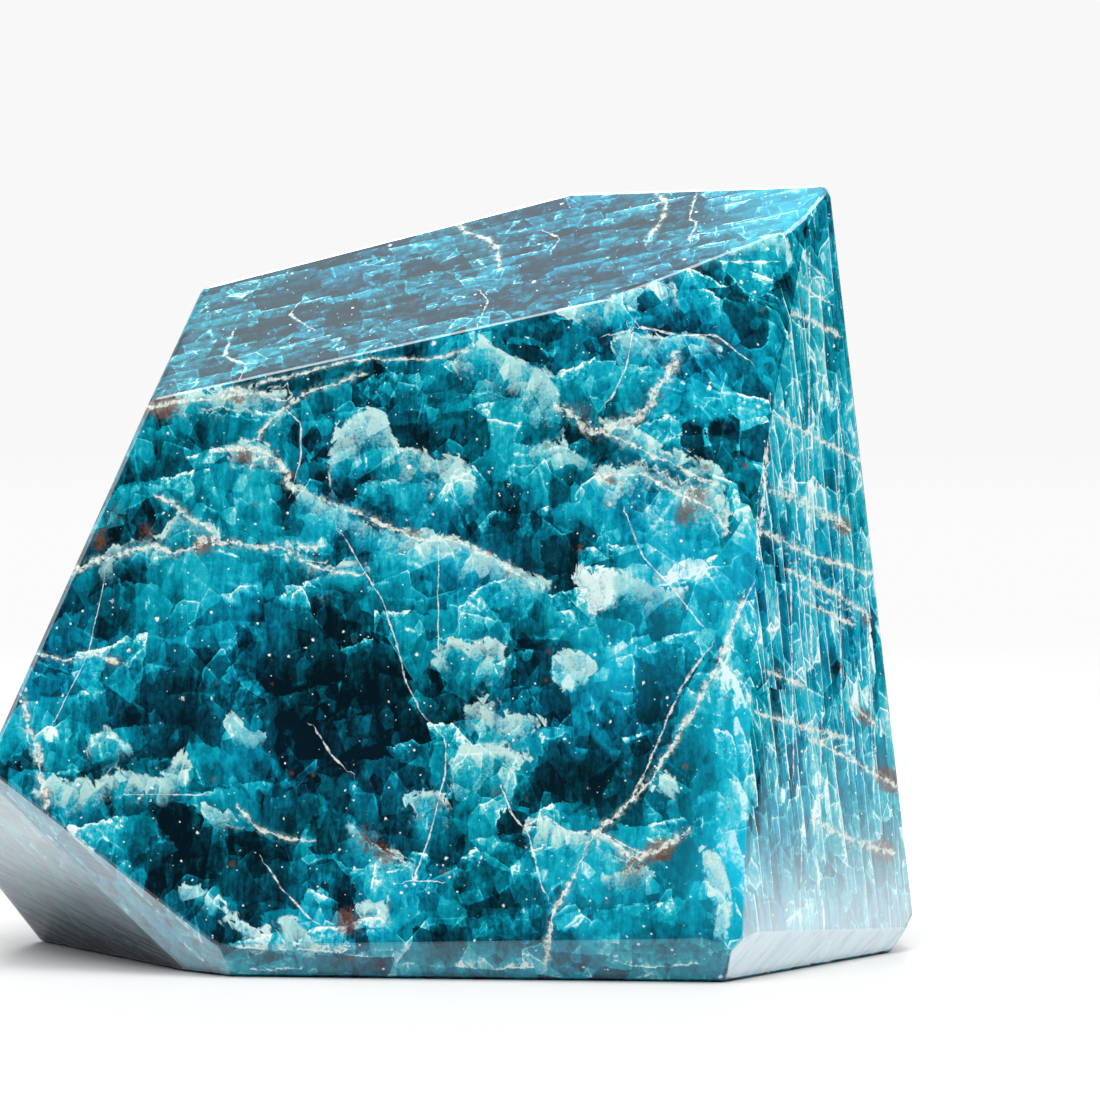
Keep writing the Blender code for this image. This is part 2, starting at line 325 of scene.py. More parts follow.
RIGHT_VEINS = (
    Vein("top_step", 0.12, 0.0, ((-12, 88), (-8, 85))),
    Vein("high_step", 0.14, 0.0, ((-14, 85), (-8, 82))),
    Vein("first_step", 0.34, 0.1, ((-16, 81), (-12, 80), (-7, 78))),
    Vein("second_step", 0.36, 0.1, ((-18, 68), (-12, 65), (-5, 62))),
    Vein("thick_step", 0.62, 0.7, ((-20, 59), (-15, 57), (-9, 54))),
    Vein("third_step", 0.40, 0.2, ((-22, 54), (-16, 51), (-6, 48))),
    Vein("fourth_step", 0.40, 0.3, ((-19, 49), (-12, 46), (-7, 43))),
    Vein("fifth_step", 0.32, 0.2, ((-17, 45), (-10, 42))),
    Vein("sixth_step", 0.40, 0.6, ((-24, 37), (-19, 35))),
    Vein("seventh_step", 0.36, 0.1, ((-26, 32), (-20, 30), (-13, 28))),
    Vein("rusty_step", 0.30, 0.9, ((-18, 28), (-12, 25), (-5, 21))),
    Vein("low_rusty_step", 0.44, 0.9, ((-19, 18), (-13, 15), (-7, 13))),
    Vein("edge_step", 0.20, 0.7, ((-11, 32), (-6, 28))),
)

RIGHT_HAIRS = (
    Vein("border", 0.42, 0.0, ((-16, 86), (-18, 78), (-20, 68), (-22, 58), (-25, 48))),
    Vein("rail_b", 0.16, 0.0, ((-10, 88), (-14, 62), (-17, 38))),
    Vein("rail_c", 0.14, 0.0, ((-8, 68), (-13, 30))),
    Vein("rail_d", 0.14, 0.0, ((-21, 20), (-24, 4))),
    Vein("rail_e", 0.14, 0.0, ((-16, 32), (-19, 16))),
    Vein("rail_f", 0.16, 0.0, ((-6, 50), (-9, 18))),
    Vein("rail_g", 0.13, 0.0, ((-19, 48), (-22, 24))),
)

TOP_PANES = (
    Pane("slate_a", 0.06, ((-13, -4), (-9, -4), (-9, -9), (-13, -8))),
    Pane("slate_b", 0.06, ((-11, -11), (-9, -11), (-9, -15), (-10, -15))),
    Pane("slate_c", 0.07, ((-5, -6), (-1, -6), (-1, -9), (-5, -9))),
    Pane("slate_d", 0.08, ((-8, 0), (-5, 0), (-5, -3), (-8, -3))),
    Pane("slate_e", 0.05, ((-4, 1), (-1, 1), (2, -3), (-4, -2))),
    Pane("slate_f", 0.10, ((-25, -4), (-21, -4), (-21, -7), (-24, -7))),
    Pane("slate_g", 0.10, ((-18, -3), (-14, -3), (-14, -6), (-17, -6))),
    Pane("slate_h", 0.06, ((28, 0), (34, 0), (34, -6), (30, -7), (28, -5))),
    Pane("slate_i", 0.08, ((6, -10), (10, -10), (10, -13), (6, -13))),
    Pane("slate_j", 0.10, ((-1, -11), (3, -11), (4, -13), (0, -13))),
    Pane("slate_k", 0.10, ((8, 6), (14, 6), (14, 4), (9, 4))),
)

TOP_VEINS = (
    Vein("fork", 0.30, 0.1, ((28, 3), (29, 0), (29, -3), (27, -7))),
    Vein("branch", 0.30, 0.1, ((3, 6), (5, 3), (8, 0), (8, -4))),
)

TOP_HAIRS = (
    Vein("net_a", 0.14, 0.0, ((6, -9), (7, -11), (6, -15))),
    Vein("net_c", 0.16, 0.0, ((14, 0), (16, -2), (15, -4))),
    Vein("net_d", 0.20, 0.0, ((33, -1), (32, -5), (33, -6), (32, -9))),
    Vein("net_f", 0.22, 0.1, ((-25, -5), (-26, -9), (-23, -12), (-24, -16))),
    Vein("net_g", 0.14, 0.0, ((-17, -2), (-18, -4), (-15, -8))),
)

TOP_LIGHT = (
    Spot("east", (46, -7), 8, 0.55),
)

TOP_GLOW = (
    Spot("east", (45, -6), 9, 0.14),
    Spot("front_rim", (20, -14), 8, 0.06),
    Spot("whole", (-4, -4), 60, -0.10),
)

FRONT_GLOW = (
    Spot("soft_edge_low", (39, 18), 9, 0.12),
    Spot("soft_edge_mid", (39, 42), 6, 0.09),
    Spot("soft_edge_high", (40, 60), 5, 0.12),
    Spot("cheek_high", (44, 82), 2, 0.20),
    Spot("right_sheets", (30, 44), 10, 0.21),
    Spot("right_block", (34, 58), 7, 0.12),
    Spot("middle", (8, 36), 10, -0.06),
    Spot("west_teal", (-30, 46), 12, 0.05),
    Spot("middle_teal", (4, 47), 12, 0.05),
    Spot("heart", (-12, 30), 14, -0.16),
    Spot("low_west", (-27, 14), 10, -0.10),
    Spot("right_foot", (26, 9), 9, 0.06),
    Spot("under_crack", (22, 26), 8, -0.10),
    Spot("ridge", (12, 72), 12, 0.04),
)

FRONT_LIGHT = (
    Spot("soft_edge_low", (39, 14), 8, 0.75),
    Spot("soft_edge_mid", (40, 30), 6, 0.60),
    Spot("soft_edge_high", (40, 50), 4, 0.35),
    Spot("foot", (20, 12), 6, 0.25),
    Spot("slab", (22, 38), 5, 0.25),
    Spot("sheets", (32, 46), 7, 0.25),
)

FRONT_STAIN = (
    Spot("ridge_west", (-33, 69), 2.2, 0.9),
    Spot("ridge_mid", (-24, 70), 2.0, 0.5),
    Spot("west_a", (-23, 63), 1.3, 0.9),
    Spot("west_b", (-29, 62), 1.0, 0.5),
    Spot("west_c", (-41, 53), 1.6, 0.8),
    Spot("west_d", (-35, 54), 1.6, 0.7),
    Spot("west_e", (-28, 52), 1.4, 0.9),
    Spot("west_f", (-39, 56), 2.0, 0.6),
    Spot("crest_a", (-7, 60), 1.0, 0.8),
    Spot("crest_b", (8, 72), 1.4, 0.6),
    Spot("crest_c", (3, 71), 1.0, 0.5),
    Spot("crest_d", (8, 67), 1.8, 0.4),
    Spot("peak", (35, 77), 0.9, 1.0),
    Spot("feather", (19, 69), 2.2, 0.5),
    Spot("rust_a", (31, 56), 1.6, 1.0),
    Spot("rust_b", (26, 57), 1.0, 0.8),
    Spot("rust_c", (33, 59), 1.4, 0.7),
    Spot("rust_d", (22, 60), 1.0, 0.6),
    Spot("chip", (18, 52), 0.9, 0.9),
    Spot("chip_tail", (28, 49), 1.8, 0.6),
    Spot("step_a", (-2, 54), 1.0, 0.8),
    Spot("step_b", (-13, 46), 1.4, 0.6),
    Spot("step_c", (8, 23), 1.4, 0.6),
    Spot("step_d", (2, 13), 0.9, 0.9),
    Spot("foot_a", (-10, 7), 2.2, 1.0),
    Spot("foot_b", (-8, 17), 2.6, 0.7),
    Spot("foot_c", (-5, 15), 1.6, 0.8),
    Spot("foot_d", (24, 13), 2.4, 0.7),
    Spot("foot_e", (28, 16), 1.6, 0.9),
    Spot("corner_a", (-47, 22), 1.4, 0.8),
    Spot("corner_b", (-43, 23), 1.0, 0.6),
    Spot("knots", (-25, 19), 1.4, 0.7),
    Spot("west_low_a", (-39, 38), 1.4, 0.6),
    Spot("west_low_b", (-49, 38), 1.4, 0.6),
)

RIGHT_GLOW = (
    Spot("whole_low", (-15, 30), 24, 0.27),
    Spot("whole_high", (-13, 70), 22, 0.25),
    Spot("edge_high", (-17, 83), 5, 0.22),
    Spot("low_haze_front", (-25, 8), 9, 0.12),
    Spot("low_haze_back", (-12, 6), 9, 0.10),
    Spot("high_light", (-11, 88), 7, 0.16),
    Spot("rim_high", (-2, 86), 6, 0.16),
    Spot("front_border", (-26, 40), 7, 0.10),
    Spot("night_low", (-24, 36), 4, -0.30),
    Spot("night_mid", (-22, 49), 3, -0.22),
    Spot("night_slot", (-13, 37), 2, -0.30),
)

RIGHT_STAIN = (
    Spot("thick", (-9, 54), 1.6, 0.8),
    Spot("sixth", (-7, 42), 1.6, 0.7),
    Spot("rusty_a", (-6, 22), 2.4, 0.8),
    Spot("rusty_b", (-8, 13), 2.4, 0.7),
    Spot("rusty_c", (-9, 30), 1.6, 0.7),
)


@dataclass(frozen=True)
class Layout:
    """All markings of one side."""

    panes: tuple[Pane, ...] = ()
    flakes: tuple[Pane, ...] = ()
    shelves: tuple[Shelf, ...] = ()
    veins: tuple[Vein, ...] = ()
    hairs: tuple[Vein, ...] = ()
    glow: tuple[Spot, ...] = ()
    stain: tuple[Spot, ...] = ()
    light: tuple[Spot, ...] = ()


LAYOUTS = {
    Side.FRONT: Layout(
        panes=FRONT_PANES,
        flakes=FRONT_FLAKES,
        shelves=FRONT_SHELVES,
        veins=FRONT_VEINS,
        hairs=FRONT_HAIRS,
        glow=FRONT_GLOW,
        stain=FRONT_STAIN,
        light=FRONT_LIGHT,
    ),
    Side.RIGHT: Layout(veins=RIGHT_VEINS, hairs=RIGHT_HAIRS, glow=RIGHT_GLOW, stain=RIGHT_STAIN),
    Side.TOP: Layout(panes=TOP_PANES, veins=TOP_VEINS, hairs=TOP_HAIRS, glow=TOP_GLOW, light=TOP_LIGHT),
}


@dataclass(frozen=True)
class Foot:
    """A bevel that takes on the pale table in painted light.

    It has the way that it faces, the way that its painted streaks run, the heights in millimetres between
    which it changes, its share of painted reflection of the table low and high, its share of painted
    shade low down, and how far its tone is lifted as painted bounce light.
    """

    name: str
    faces: tuple[float, float]
    brush: tuple[float, float]
    low: float
    high: float
    table_reflection: tuple[float, float]
    shade: float
    lift: float = 0.0


# Painted light near the base: a reflection of the pale table, shade towards it and bounce light that
# lifts the tone, streaked along each bevel
FEET = (
    Foot("under_left", (-52.5, -37.8), (30.0, -28.0), 1.0, 18.0, (0.50, 0.72), 0.95),
    Foot("left_foot", (-36.9, -28.9), (45.0, -20.0), 2.0, 14.0, (0.28, 0.48), 0.0, 0.14),
    Foot("front_foot", (-4.5, -22.8), (88.0, 0.0), 2.6, 3.4, (0.0, 0.0), 0.0, 0.20),
    Foot("right_foot", (49.6, -21.0), (-20.0, -45.0), 0.0, 5.0, (0.92, 0.94), 0.0),
    Foot("right_face", (52.0, 4.9), (60.0, -60.0), 2.0, 24.0, (0.60, 0.0), 0.0),
    Foot("right_back_foot", (100.0, -36.0), (20.0, -20.0), 0.0, 5.0, (0.60, 0.70), 0.0),
    Foot("back_foot", (176.0, -38.0), (90.0, 0.0), 0.0, 5.0, (0.40, 0.50), 0.0),
)


def steps_of(outline: Points, closed: bool) -> list[tuple[np.ndarray, np.ndarray]]:
    """The straight steps of a line.

    Args:
        outline: the points in order.
        closed: whether the last point joins the first.

    Returns:
        The two ends of each step.
    """
    ends = [np.array(point, float) for point in outline]
    after = ends[1:] + (ends[:1] if closed else [])
    return list(zip(ends, after))


def distance_to(places: np.ndarray, outline: Points, closed: bool) -> tuple[np.ndarray, np.ndarray]:
    """How far places lie from a line, and on which side of it.

    Args:
        places: points in the side's own two coordinates.
        outline: the line in millimetres.
        closed: whether the line is a loop.

    Returns:
        The distance, and the same distance with a sign. In a loop the inside is positive, and along
        an open line its left is.
    """
    nearest = np.full(len(places), np.inf)
    sign = np.ones(len(places))
    inside = np.zeros(len(places), bool)
    for start, end in steps_of(outline, closed):
        along = end - start
        offset = places - start
        share = np.clip(offset @ along / (along @ along), 0.0, 1.0)
        gap = np.linalg.norm(offset - share[:, None] * along, axis=1)
        closer = gap < nearest
        nearest = np.where(closer, gap, nearest)
        turn = along[0] * offset[:, 1] - along[1] * offset[:, 0]
        sign = np.where(closer, np.where(turn >= 0, 1.0, -1.0), sign)
        spans = (start[1] > places[:, 1]) != (end[1] > places[:, 1])
        rise = along[1] if along[1] else 1.0
        crossing = start[0] + (places[:, 1] - start[1]) / rise * along[0]
        inside ^= spans & (places[:, 0] < crossing)
    if closed:
        sign = np.where(inside, 1.0, -1.0)
    return nearest, nearest * sign


def height_of_edge(across: np.ndarray, outline: Points) -> np.ndarray:
    """The height of a loop's upper edge above each place across it."""
    top = np.full(len(across), -np.inf)
    for start, end in steps_of(outline, True):
        low, high = sorted((start[0], end[0]))
        run = end[0] - start[0]
        if not run:
            continue
        height = start[1] + (across - start[0]) / run * (end[1] - start[1])
        here = (across >= low) & (across <= high)
        top = np.where(here, np.maximum(top, height), top)
    return top


class Marker:
    """Lays the markings over the stone's points, as the values that the material reads.

    A pane or a flake keeps its depth and tone, a shelf its depth, what is left of it and its white, a
    vein or a hair its signed and plain distance and its half width. The field holds glow, with the feet's
    painted bounce light, stain and light. The sides hold the painted reflection of the table, the painted
    shade and the share of the right face. The lie holds a bevel's painted streak coordinates and the
    share of the top.
    """

    NAMES = ("pane", "flake", "shelf", "vein", "hair", "field", "sides", "lie")
    FADE_SHARE = 0.75
    STAIN_REACH = 1.4
    STAIN_SHARE = 0.55
    NEAR = (16.0, 5.0)
    WIDE = (24.0, 7.0)
    TOUCHED = 0.02

    def __init__(self, count: int) -> None:
        area, line = [-OUTSIDE, 0.0, 0.0], [OUTSIDE, OUTSIDE, 0.0]
        self.pane, self.flake, self.shelf = (np.tile(area, (count, 1)) for _ in range(3))
        self.vein, self.hair = (np.tile(line, (count, 1)) for _ in range(2))
        self.field, self.sides, self.lie = (np.zeros((count, 3)) for _ in range(3))

    def lay_panes(self, into: np.ndarray, mine: np.ndarray, places: np.ndarray, panes: tuple) -> None:
        """Keeps, at each point, the distance into the pane that holds it deepest, and its tone."""
        best = into[mine]
        for pane in panes:
            _, depth = distance_to(places, pane.outline, True)
            deeper = depth > best[:, 0]
            best[deeper, 0] = depth[deeper]
            best[deeper, 1] = pane.tone
        into[mine] = best

    def lay_shelves(self, mine: np.ndarray, places: np.ndarray, shelves: tuple) -> None:
        """Keeps the distance into the nearest crest, what is left of it here, and its white."""
        best = self.shelf[mine]
        for shelf in shelves:
            _, depth = distance_to(places, shelf.outline, True)
            deeper = depth > best[:, 0]
            below = height_of_edge(places[:, 0], shelf.outline) - places[:, 1]
            sunk = np.where(np.isfinite(below), below, 0.0) / (self.FADE_SHARE * shelf.fade)
            left = np.clip(1.0 - sunk, 0.0, 1.0)
            best[deeper, 0] = depth[deeper]
            best[deeper, 1] = left[deeper]
            best[deeper, 2] = shelf.white
        self.shelf[mine] = best

    def lay_veins(self, into: np.ndarray, mine: np.ndarray, places: np.ndarray, veins: tuple) -> None:
        """Keeps both distances to the nearest seam and its half width, and stains along it."""
        best = into[mine]
        for vein in veins:
            gap, signed = distance_to(places, vein.line, False)
            closer = gap < best[:, 1]
            best[closer, 0] = signed[closer]
            best[closer, 1] = gap[closer]
            best[closer, 2] = vein.width
            stain = vein.rust * np.exp(-((gap / self.STAIN_REACH) ** 2)) * self.STAIN_SHARE
            self.field[mine, 1] = np.maximum(self.field[mine, 1], stain)
        into[mine] = best

    def lay_spots(self, channel: int, mine: np.ndarray, places: np.ndarray, spots: tuple) -> None:
        """Adds soft round patches to one channel of the field."""
        for spot in spots:
            gap = np.linalg.norm(places - np.array(spot.at), axis=1) / spot.radius
            self.field[mine, channel] += spot.strength * np.exp(-(gap**2))

    def lay_foot(self, foot: Foot, places: np.ndarray, normals: np.ndarray) -> None:
        """Veils one bevel with a painted reflection of the pale table, paints shade on it towards the
        table, lifts its tone as painted bounce light, and turns its painted streaks along it.
        """
        likeness = normals @ facing(*foot.faces)
        near, wide = (smooth(*np.cos(np.radians(reach)), likeness) for reach in (self.NEAR, self.WIDE))
        rise = smooth(foot.low, foot.high, places[:, 2])
        # Painted reflection of the pale table, painted shade towards it, and painted bounce light that
        # lifts the tone
        table_reflection = wide * (foot.table_reflection[0] + (foot.table_reflection[1] - foot.table_reflection[0]) * rise)
        self.sides[:, 0] = np.maximum(self.sides[:, 0], table_reflection)
        self.sides[:, 1] = np.maximum(self.sides[:, 1], near * foot.shade * (1.0 - rise))
        self.field[:, 0] += wide * foot.lift
        along = facing(*foot.brush)
        across = np.cross(facing(*foot.faces), along)
        on = near > self.TOUCHED
        self.lie[on, 0] = places[on] @ across
        self.lie[on, 1] = places[on] @ along

    def lay(self, layout: Layout, mine: np.ndarray, places: np.ndarray) -> None:
        """Lays a whole side.

        Args:
            layout: the side's markings.
            mine: which of the stone's points the side holds.
            places: those points in the side's own two coordinates, in millimetres.
        """
        self.lay_panes(self.pane, mine, places, layout.panes)
        self.lay_panes(self.flake, mine, places, layout.flakes)
        self.lay_shelves(mine, places, layout.shelves)
        self.lay_veins(self.vein, mine, places, layout.veins)
        self.lay_veins(self.hair, mine, places, layout.hairs)
        for channel, spots in enumerate((layout.glow, layout.stain, layout.light)):
            self.lay_spots(channel, mine, places, spots)


class Graph:
    """A short way to write shader and geometry node trees."""

    def __init__(self, tree: bpy.types.NodeTree) -> None:
        self.tree = tree

    def add(self, kind: str, **settings: object) -> bpy.types.Node:
        """A new node with its settings."""
        node = self.tree.nodes.new(kind)
        for name, value in settings.items():
            setattr(node, name, value)
        return node

    def feed(self, socket: bpy.types.NodeSocket, value: object) -> None:
        """Links a socket to another, or gives it a plain value."""
        if isinstance(value, bpy.types.NodeSocket):
            self.tree.links.new(value, socket)
        elif value is not None:
            socket.default_value = value

    def math(self, work: str, *values: object, clamp: bool = False) -> bpy.types.NodeSocket:
        """One sum.

        Args:
            work: the operation.
            values: its operands, sockets or numbers.
            clamp: whether the result stays between 0 and 1.

        Returns:
            The result.
        """
        node = self.add("ShaderNodeMath", operation=work, use_clamp=clamp)
        for socket, value in zip(node.inputs, values):
            self.feed(socket, value)
        return node.outputs[0]

    def fold(self, work: str, values: tuple) -> bpy.types.NodeSocket:
        """One sum after another, from the left."""
        result, *rest = values
        for value in rest:
            result = self.math(work, result, value)
        return result

    def times(self, *values: object) -> bpy.types.NodeSocket:
        """The product of the values."""
        return self.fold("MULTIPLY", values)

    def plus(self, *values: object) -> bpy.types.NodeSocket:
        """The sum of the values."""
        return self.fold("ADD", values)

    def most(self, *values: object) -> bpy.types.NodeSocket:
        """The largest of the values."""
        return self.fold("MAXIMUM", values)

    def ratio(self, value: object, by: object) -> bpy.types.NodeSocket:
        """A value divided by another."""
        return self.math("DIVIDE", value, by)

    def fit(self, value: object, factor: object, start: object) -> bpy.types.NodeSocket:
        """A value times a factor, counted from a start."""
        return self.math("MULTIPLY_ADD", value, factor, start)

    def swing(self, value: object, amount: float) -> bpy.types.NodeSocket:
        """A value about its middle, times an amount."""
        return self.times(self.math("SUBTRACT", value, 0.5), amount)

    def vector(self, work: str, first: object, second: object = None) -> bpy.types.NodeSocket:
        """One sum on vectors."""
        node = self.add("ShaderNodeVectorMath", operation=work)
        self.feed(node.inputs[0], first)
        if work == "SCALE":
            self.feed(node.inputs["Scale"], second)
        else:
            self.feed(node.inputs[1], second)
        return node.outputs["Value" if work == "LENGTH" else "Vector"]

    def step(
        self, value: object, low: object, high: object, out: tuple = (0.0, 1.0)
    ) -> bpy.types.NodeSocket:
        """A smooth step between two values.

        Args:
            value: what is tested.
            low: where the step starts.
            high: where it ends.
            out: the results at the two ends.

        Returns:
            The result.
        """
        node = self.add("ShaderNodeMapRange", interpolation_type="SMOOTHSTEP")
        for name, given in (("Value", value), ("From Min", low), ("From Max", high)):
            self.feed(node.inputs[name], given)
        node.inputs["To Min"].default_value, node.inputs["To Max"].default_value = out
        return node.outputs["Result"]

    def noise(self, place: object, kind: "Noise") -> bpy.types.NodeOutputs:
        """A noise texture of one kind."""
        node = self.add("ShaderNodeTexNoise")
        if kind.stretch != (1.0, 1.0, 1.0):
            place = self.vector("MULTIPLY", place, kind.stretch)
        self.feed(node.inputs["Vector"], place)
        node.inputs["Scale"].default_value = kind.scale
        node.inputs["Detail"].default_value = kind.detail
        node.inputs["Roughness"].default_value = kind.rough
        return node.outputs

    def cells(self, place: object, feature: str = "F1") -> bpy.types.NodeOutputs:
        """A Voronoi texture whose coordinates are already in cells."""
        node = self.add("ShaderNodeTexVoronoi", feature=feature)
        self.feed(node.inputs["Vector"], place)
        node.inputs["Scale"].default_value = 1.0
        return node.outputs

    def blend(self, share: object, first: object, second: object) -> bpy.types.NodeSocket:
        """A mix of two numbers."""
        node = self.add("ShaderNodeMix", data_type="FLOAT")
        self.feed(node.inputs[0], share)
        self.feed(node.inputs[2], first)
        self.feed(node.inputs[3], second)
        return node.outputs[0]

    def mix(
        self, share: object, first: object, second: object, blend: str = "MIX"
    ) -> bpy.types.NodeSocket:
        """A mix of two colours.

        Args:
            share: how much of the second colour there is.
            first: the first colour.
            second: the second colour.
            blend: how they mix.

        Returns:
            The mixed colour.
        """
        node = self.add("ShaderNodeMix", data_type="RGBA", blend_type=blend)
        self.feed(node.inputs[0], share)
        self.feed(node.inputs[6], first)
        self.feed(node.inputs[7], second)
        return node.outputs[2]

    def split(self, value: object) -> bpy.types.NodeOutputs:
        """The three parts of a vector."""
        node = self.add("ShaderNodeSeparateXYZ")
        self.feed(node.inputs[0], value)
        return node.outputs

    def join(self, *parts: object) -> bpy.types.NodeSocket:
        """A vector from three parts."""
        node = self.add("ShaderNodeCombineXYZ")
        for socket, part in zip(node.inputs, parts):
            self.feed(socket, part)
        return node.outputs[0]

    def attribute(self, name: str) -> bpy.types.NodeOutputs:
        """The three parts of one of the stone's own attributes."""
        return self.split(self.add("ShaderNodeAttribute", attribute_name=name).outputs["Vector"])

    def ramp(self, value: object, stops: tuple[tuple[float, str], ...]) -> bpy.types.NodeSocket:
        """A colour ramp from stops of a place and a screen code."""
        node = self.add("ShaderNodeValToRGB")
        bar = node.color_ramp.elements
        while len(bar) < len(stops):
            bar.new(0.5)
        for element, (place, code) in zip(bar, stops):
            element.position = place
            element.color = srgb(code)
        self.feed(node.inputs[0], value)
        return node.outputs["Color"]

    def place(self, group: bpy.types.NodeTree, **values: object) -> bpy.types.NodeOutputs:
        """A node group with its inputs, whose names have spaces where the keywords have underscores."""
        node = self.add("ShaderNodeGroup", node_tree=group)
        for name, value in values.items():
            self.feed(node.inputs[name.replace("_", " ").title()], value)
        return node.outputs


def open_group(name: str, takes: dict[str, str], gives: dict[str, str]) -> tuple:
    """A new shader node group.

    Args:
        name: its name.
        takes: each input's name and kind.
        gives: each output's name and kind.

    Returns:
        The graph, the node that holds the inputs and the node that takes the outputs.
    """
    tree = bpy.data.node_groups.new(name, "ShaderNodeTree")
    for label, kind in takes.items():
        tree.interface.new_socket(label, in_out="INPUT", socket_type=f"NodeSocket{kind}")
    for label, kind in gives.items():
        tree.interface.new_socket(label, in_out="OUTPUT", socket_type=f"NodeSocket{kind}")
    graph = Graph(tree)
    return graph, graph.add("NodeGroupInput").outputs, graph.add("NodeGroupOutput").inputs


@dataclass(frozen=True)
class Noise:
    """A kind of noise: its scale per millimetre, its detail, and how it is stretched along the axes."""

    scale: float
    detail: float = 2.0
    rough: float = 0.5
    stretch: tuple[float, float, float] = (1.0, 1.0, 1.0)


@dataclass(frozen=True)
class Texture:
    """The kinds of noise that the stone is made of."""

    bend: Noise = Noise(0.10, 1.0, stretch=(1.0, 1.0, 0.30))
    torn: Noise = Noise(0.9, 4.0, 0.65)
    wobble: Noise = Noise(0.8)
    rim: Noise = Noise(0.23)
    drift: Noise = Noise(0.32, 4.0)
    swell: Noise = Noise(0.9, 5.0, 0.66)
    feather: Noise = Noise(1.6, 4.0, 0.62)
    speck: Noise = Noise(4.0, 1.0)
    uneven: Noise = Noise(1.0, stretch=(0.0, 0.34, 0.02))
    slow: Noise = Noise(0.05, 1.0)
    wash: Noise = Noise(0.24, 6.0, 0.62, (1.0, 1.0, 0.45))
    streak: Noise = Noise(0.95, 4.0, 0.6, (1.0, 1.0, 0.14))
    mottle: Noise = Noise(1.3, 5.0, 0.7)
    speckle: Noise = Noise(2.6, 4.0, 0.70)
    hatch: Noise = Noise(1.0, 3.0, 0.6, (2.6, 2.6, 0.22))
    chipped: Noise = Noise(0.16)
    frost: Noise = Noise(1.9, 6.0, 0.74)
    broken: Noise = Noise(0.5, 3.0, 0.6)
    # Streaks within the painted reflection and shade near the base
    brush: Noise = Noise(1.0, 4.0, 0.65, (1.3, 0.10, 0.0))


@dataclass(frozen=True)
class Swings:
    """How far each kind of structure swings the tone of the stone's body."""

    slow: float = 0.30
    inner: float = 0.14
    streak: float = 0.50
    hatch: float = 0.34
    wash: float = 0.42
    rise: float = 0.20
    fine: float = 0.10
    panel: float = 0.26
    grain: float = 0.11
    mottle: float = 0.48


@dataclass(frozen=True)
class Steps:
    """Where each smooth step starts and ends, and what it gives where that isn't 0 to 1."""

    sheet_line: tuple = (0.93, 0.985)
    sheet_joint: tuple = (0.030, 0.0)
    grain_edge: tuple = (0.07, 0.0)
    grain_rise: tuple = (0.05, 0.4)
    rim: tuple = (0.22, 0.04)
    rim_parts: tuple = (0.48, 0.62)
    seam_swell: tuple = (0.38, 0.66, (0.25, 3.2))
    seam_near: tuple = (1.5, 0.9)
    seam_broken: tuple = (0.36, 0.54, (0.20, 1.0))
    halo_frost: tuple = (0.36, 0.60)
    halo_swell: tuple = (0.36, 0.56)
    chip_patches: tuple = (0.44, 0.60)
    bright_grain: tuple = (0.92, 0.95, (0.0, 0.16))
    dark_grain: tuple = (0.10, 0.07, (0.0, -0.12))
    swing_room: tuple = (0.0, 0.40, (0.75, 0.95))
    lit: tuple = (0.12, 0.44, (0.10, 1.0))
    frosted: tuple = (0.38, 0.62)
    lifted_sheets: tuple = (0.60, 0.74)
    lifted_fine: tuple = (0.70, 0.82)
    rail_sheets: tuple = (0.25, 0.55, (0.15, 1.0))
    thin_rails: tuple = (0.72, 0.78)
    brim: tuple = (0.45, 0.80)
    under_crest: tuple = (0.0, 0.45, (0.0, 0.88))
    crest_chips: tuple = (1.70, 2.40)
    brink: tuple = (0.86, 0.96)
    brink_parts: tuple = (0.42, 0.54)
    sandy_crest: tuple = (0.50, 0.62, (0.0, 0.7))
    chalky_crest: tuple = (0.86, 1.0)
    sandy_seam: tuple = (0.46, 0.60, (0.0, 0.75))
    # Streaks of the painted reflection of the table and of the painted shade
    reflection_marks: tuple = (0.30, 0.62, (0.82, 1.06))
    shade_marks: tuple = (0.62, 0.34, (0.88, 1.05))
    stain: tuple = (1.42, 1.85)
    polish: tuple = (0.40, 0.72)


@dataclass(frozen=True)
class Weights:
    """How strongly each kind of line and layer shows."""

    pane: float = 0.72
    flake: float = 0.90
    lift: float = 0.36
    fine_lift: float = 0.20
    thin_rail: float = 0.40
    rim: float = 0.30
    joint: float = 0.8
    grain_edge: float = 0.45
    brink: float = 0.80
    brim: float = 0.85
    stain: float = 0.75
    halo: float = 0.42
    core: float = 0.74
    hair: float = 0.70
    speck: float = 0.85
    rust_dot: float = 0.55


@dataclass(frozen=True)
class Fits:
    """Pairs of a factor and a start, for values that grow evenly with another."""

    spread: tuple[float, float] = (3.4, -1.7)
    base: tuple[float, float] = (0.38, 0.15)
    calm: tuple[float, float] = (-0.60, 1.0)
    chipped: tuple[float, float] = (0.65, 0.40)
    rail_line: tuple[float, float] = (0.45, 0.26)
    top_net: tuple[float, float] = (0.16, 0.28)
    shelf_soft: tuple[float, float] = (2.4, 0.08)
    crest_tone: tuple[float, float] = (0.26, 0.50)
    seam_reach: tuple[float, float] = (1.1, 0.03)
    halo_reach: tuple[float, float] = (4.5, 0.20)
    speck_size: tuple[float, float] = (1.2, 0.4)
    vein_wander: tuple[float, float] = (-0.90, 1.2)
    hair_wander: tuple[float, float] = (-0.40, 0.5)


NOISE = Texture()
SWING = Swings()
FIT = Fits()
STEP = Steps()
WEIGHT = Weights()

# How far a torn border strays in millimetres, and how soft it is
PANE_BORDER = {"tear": 1.4, "softness": 0.15}
FLAKE_BORDER = {"tear": 1.0, "softness": 0.10}
SHELF_TEAR = 1.8

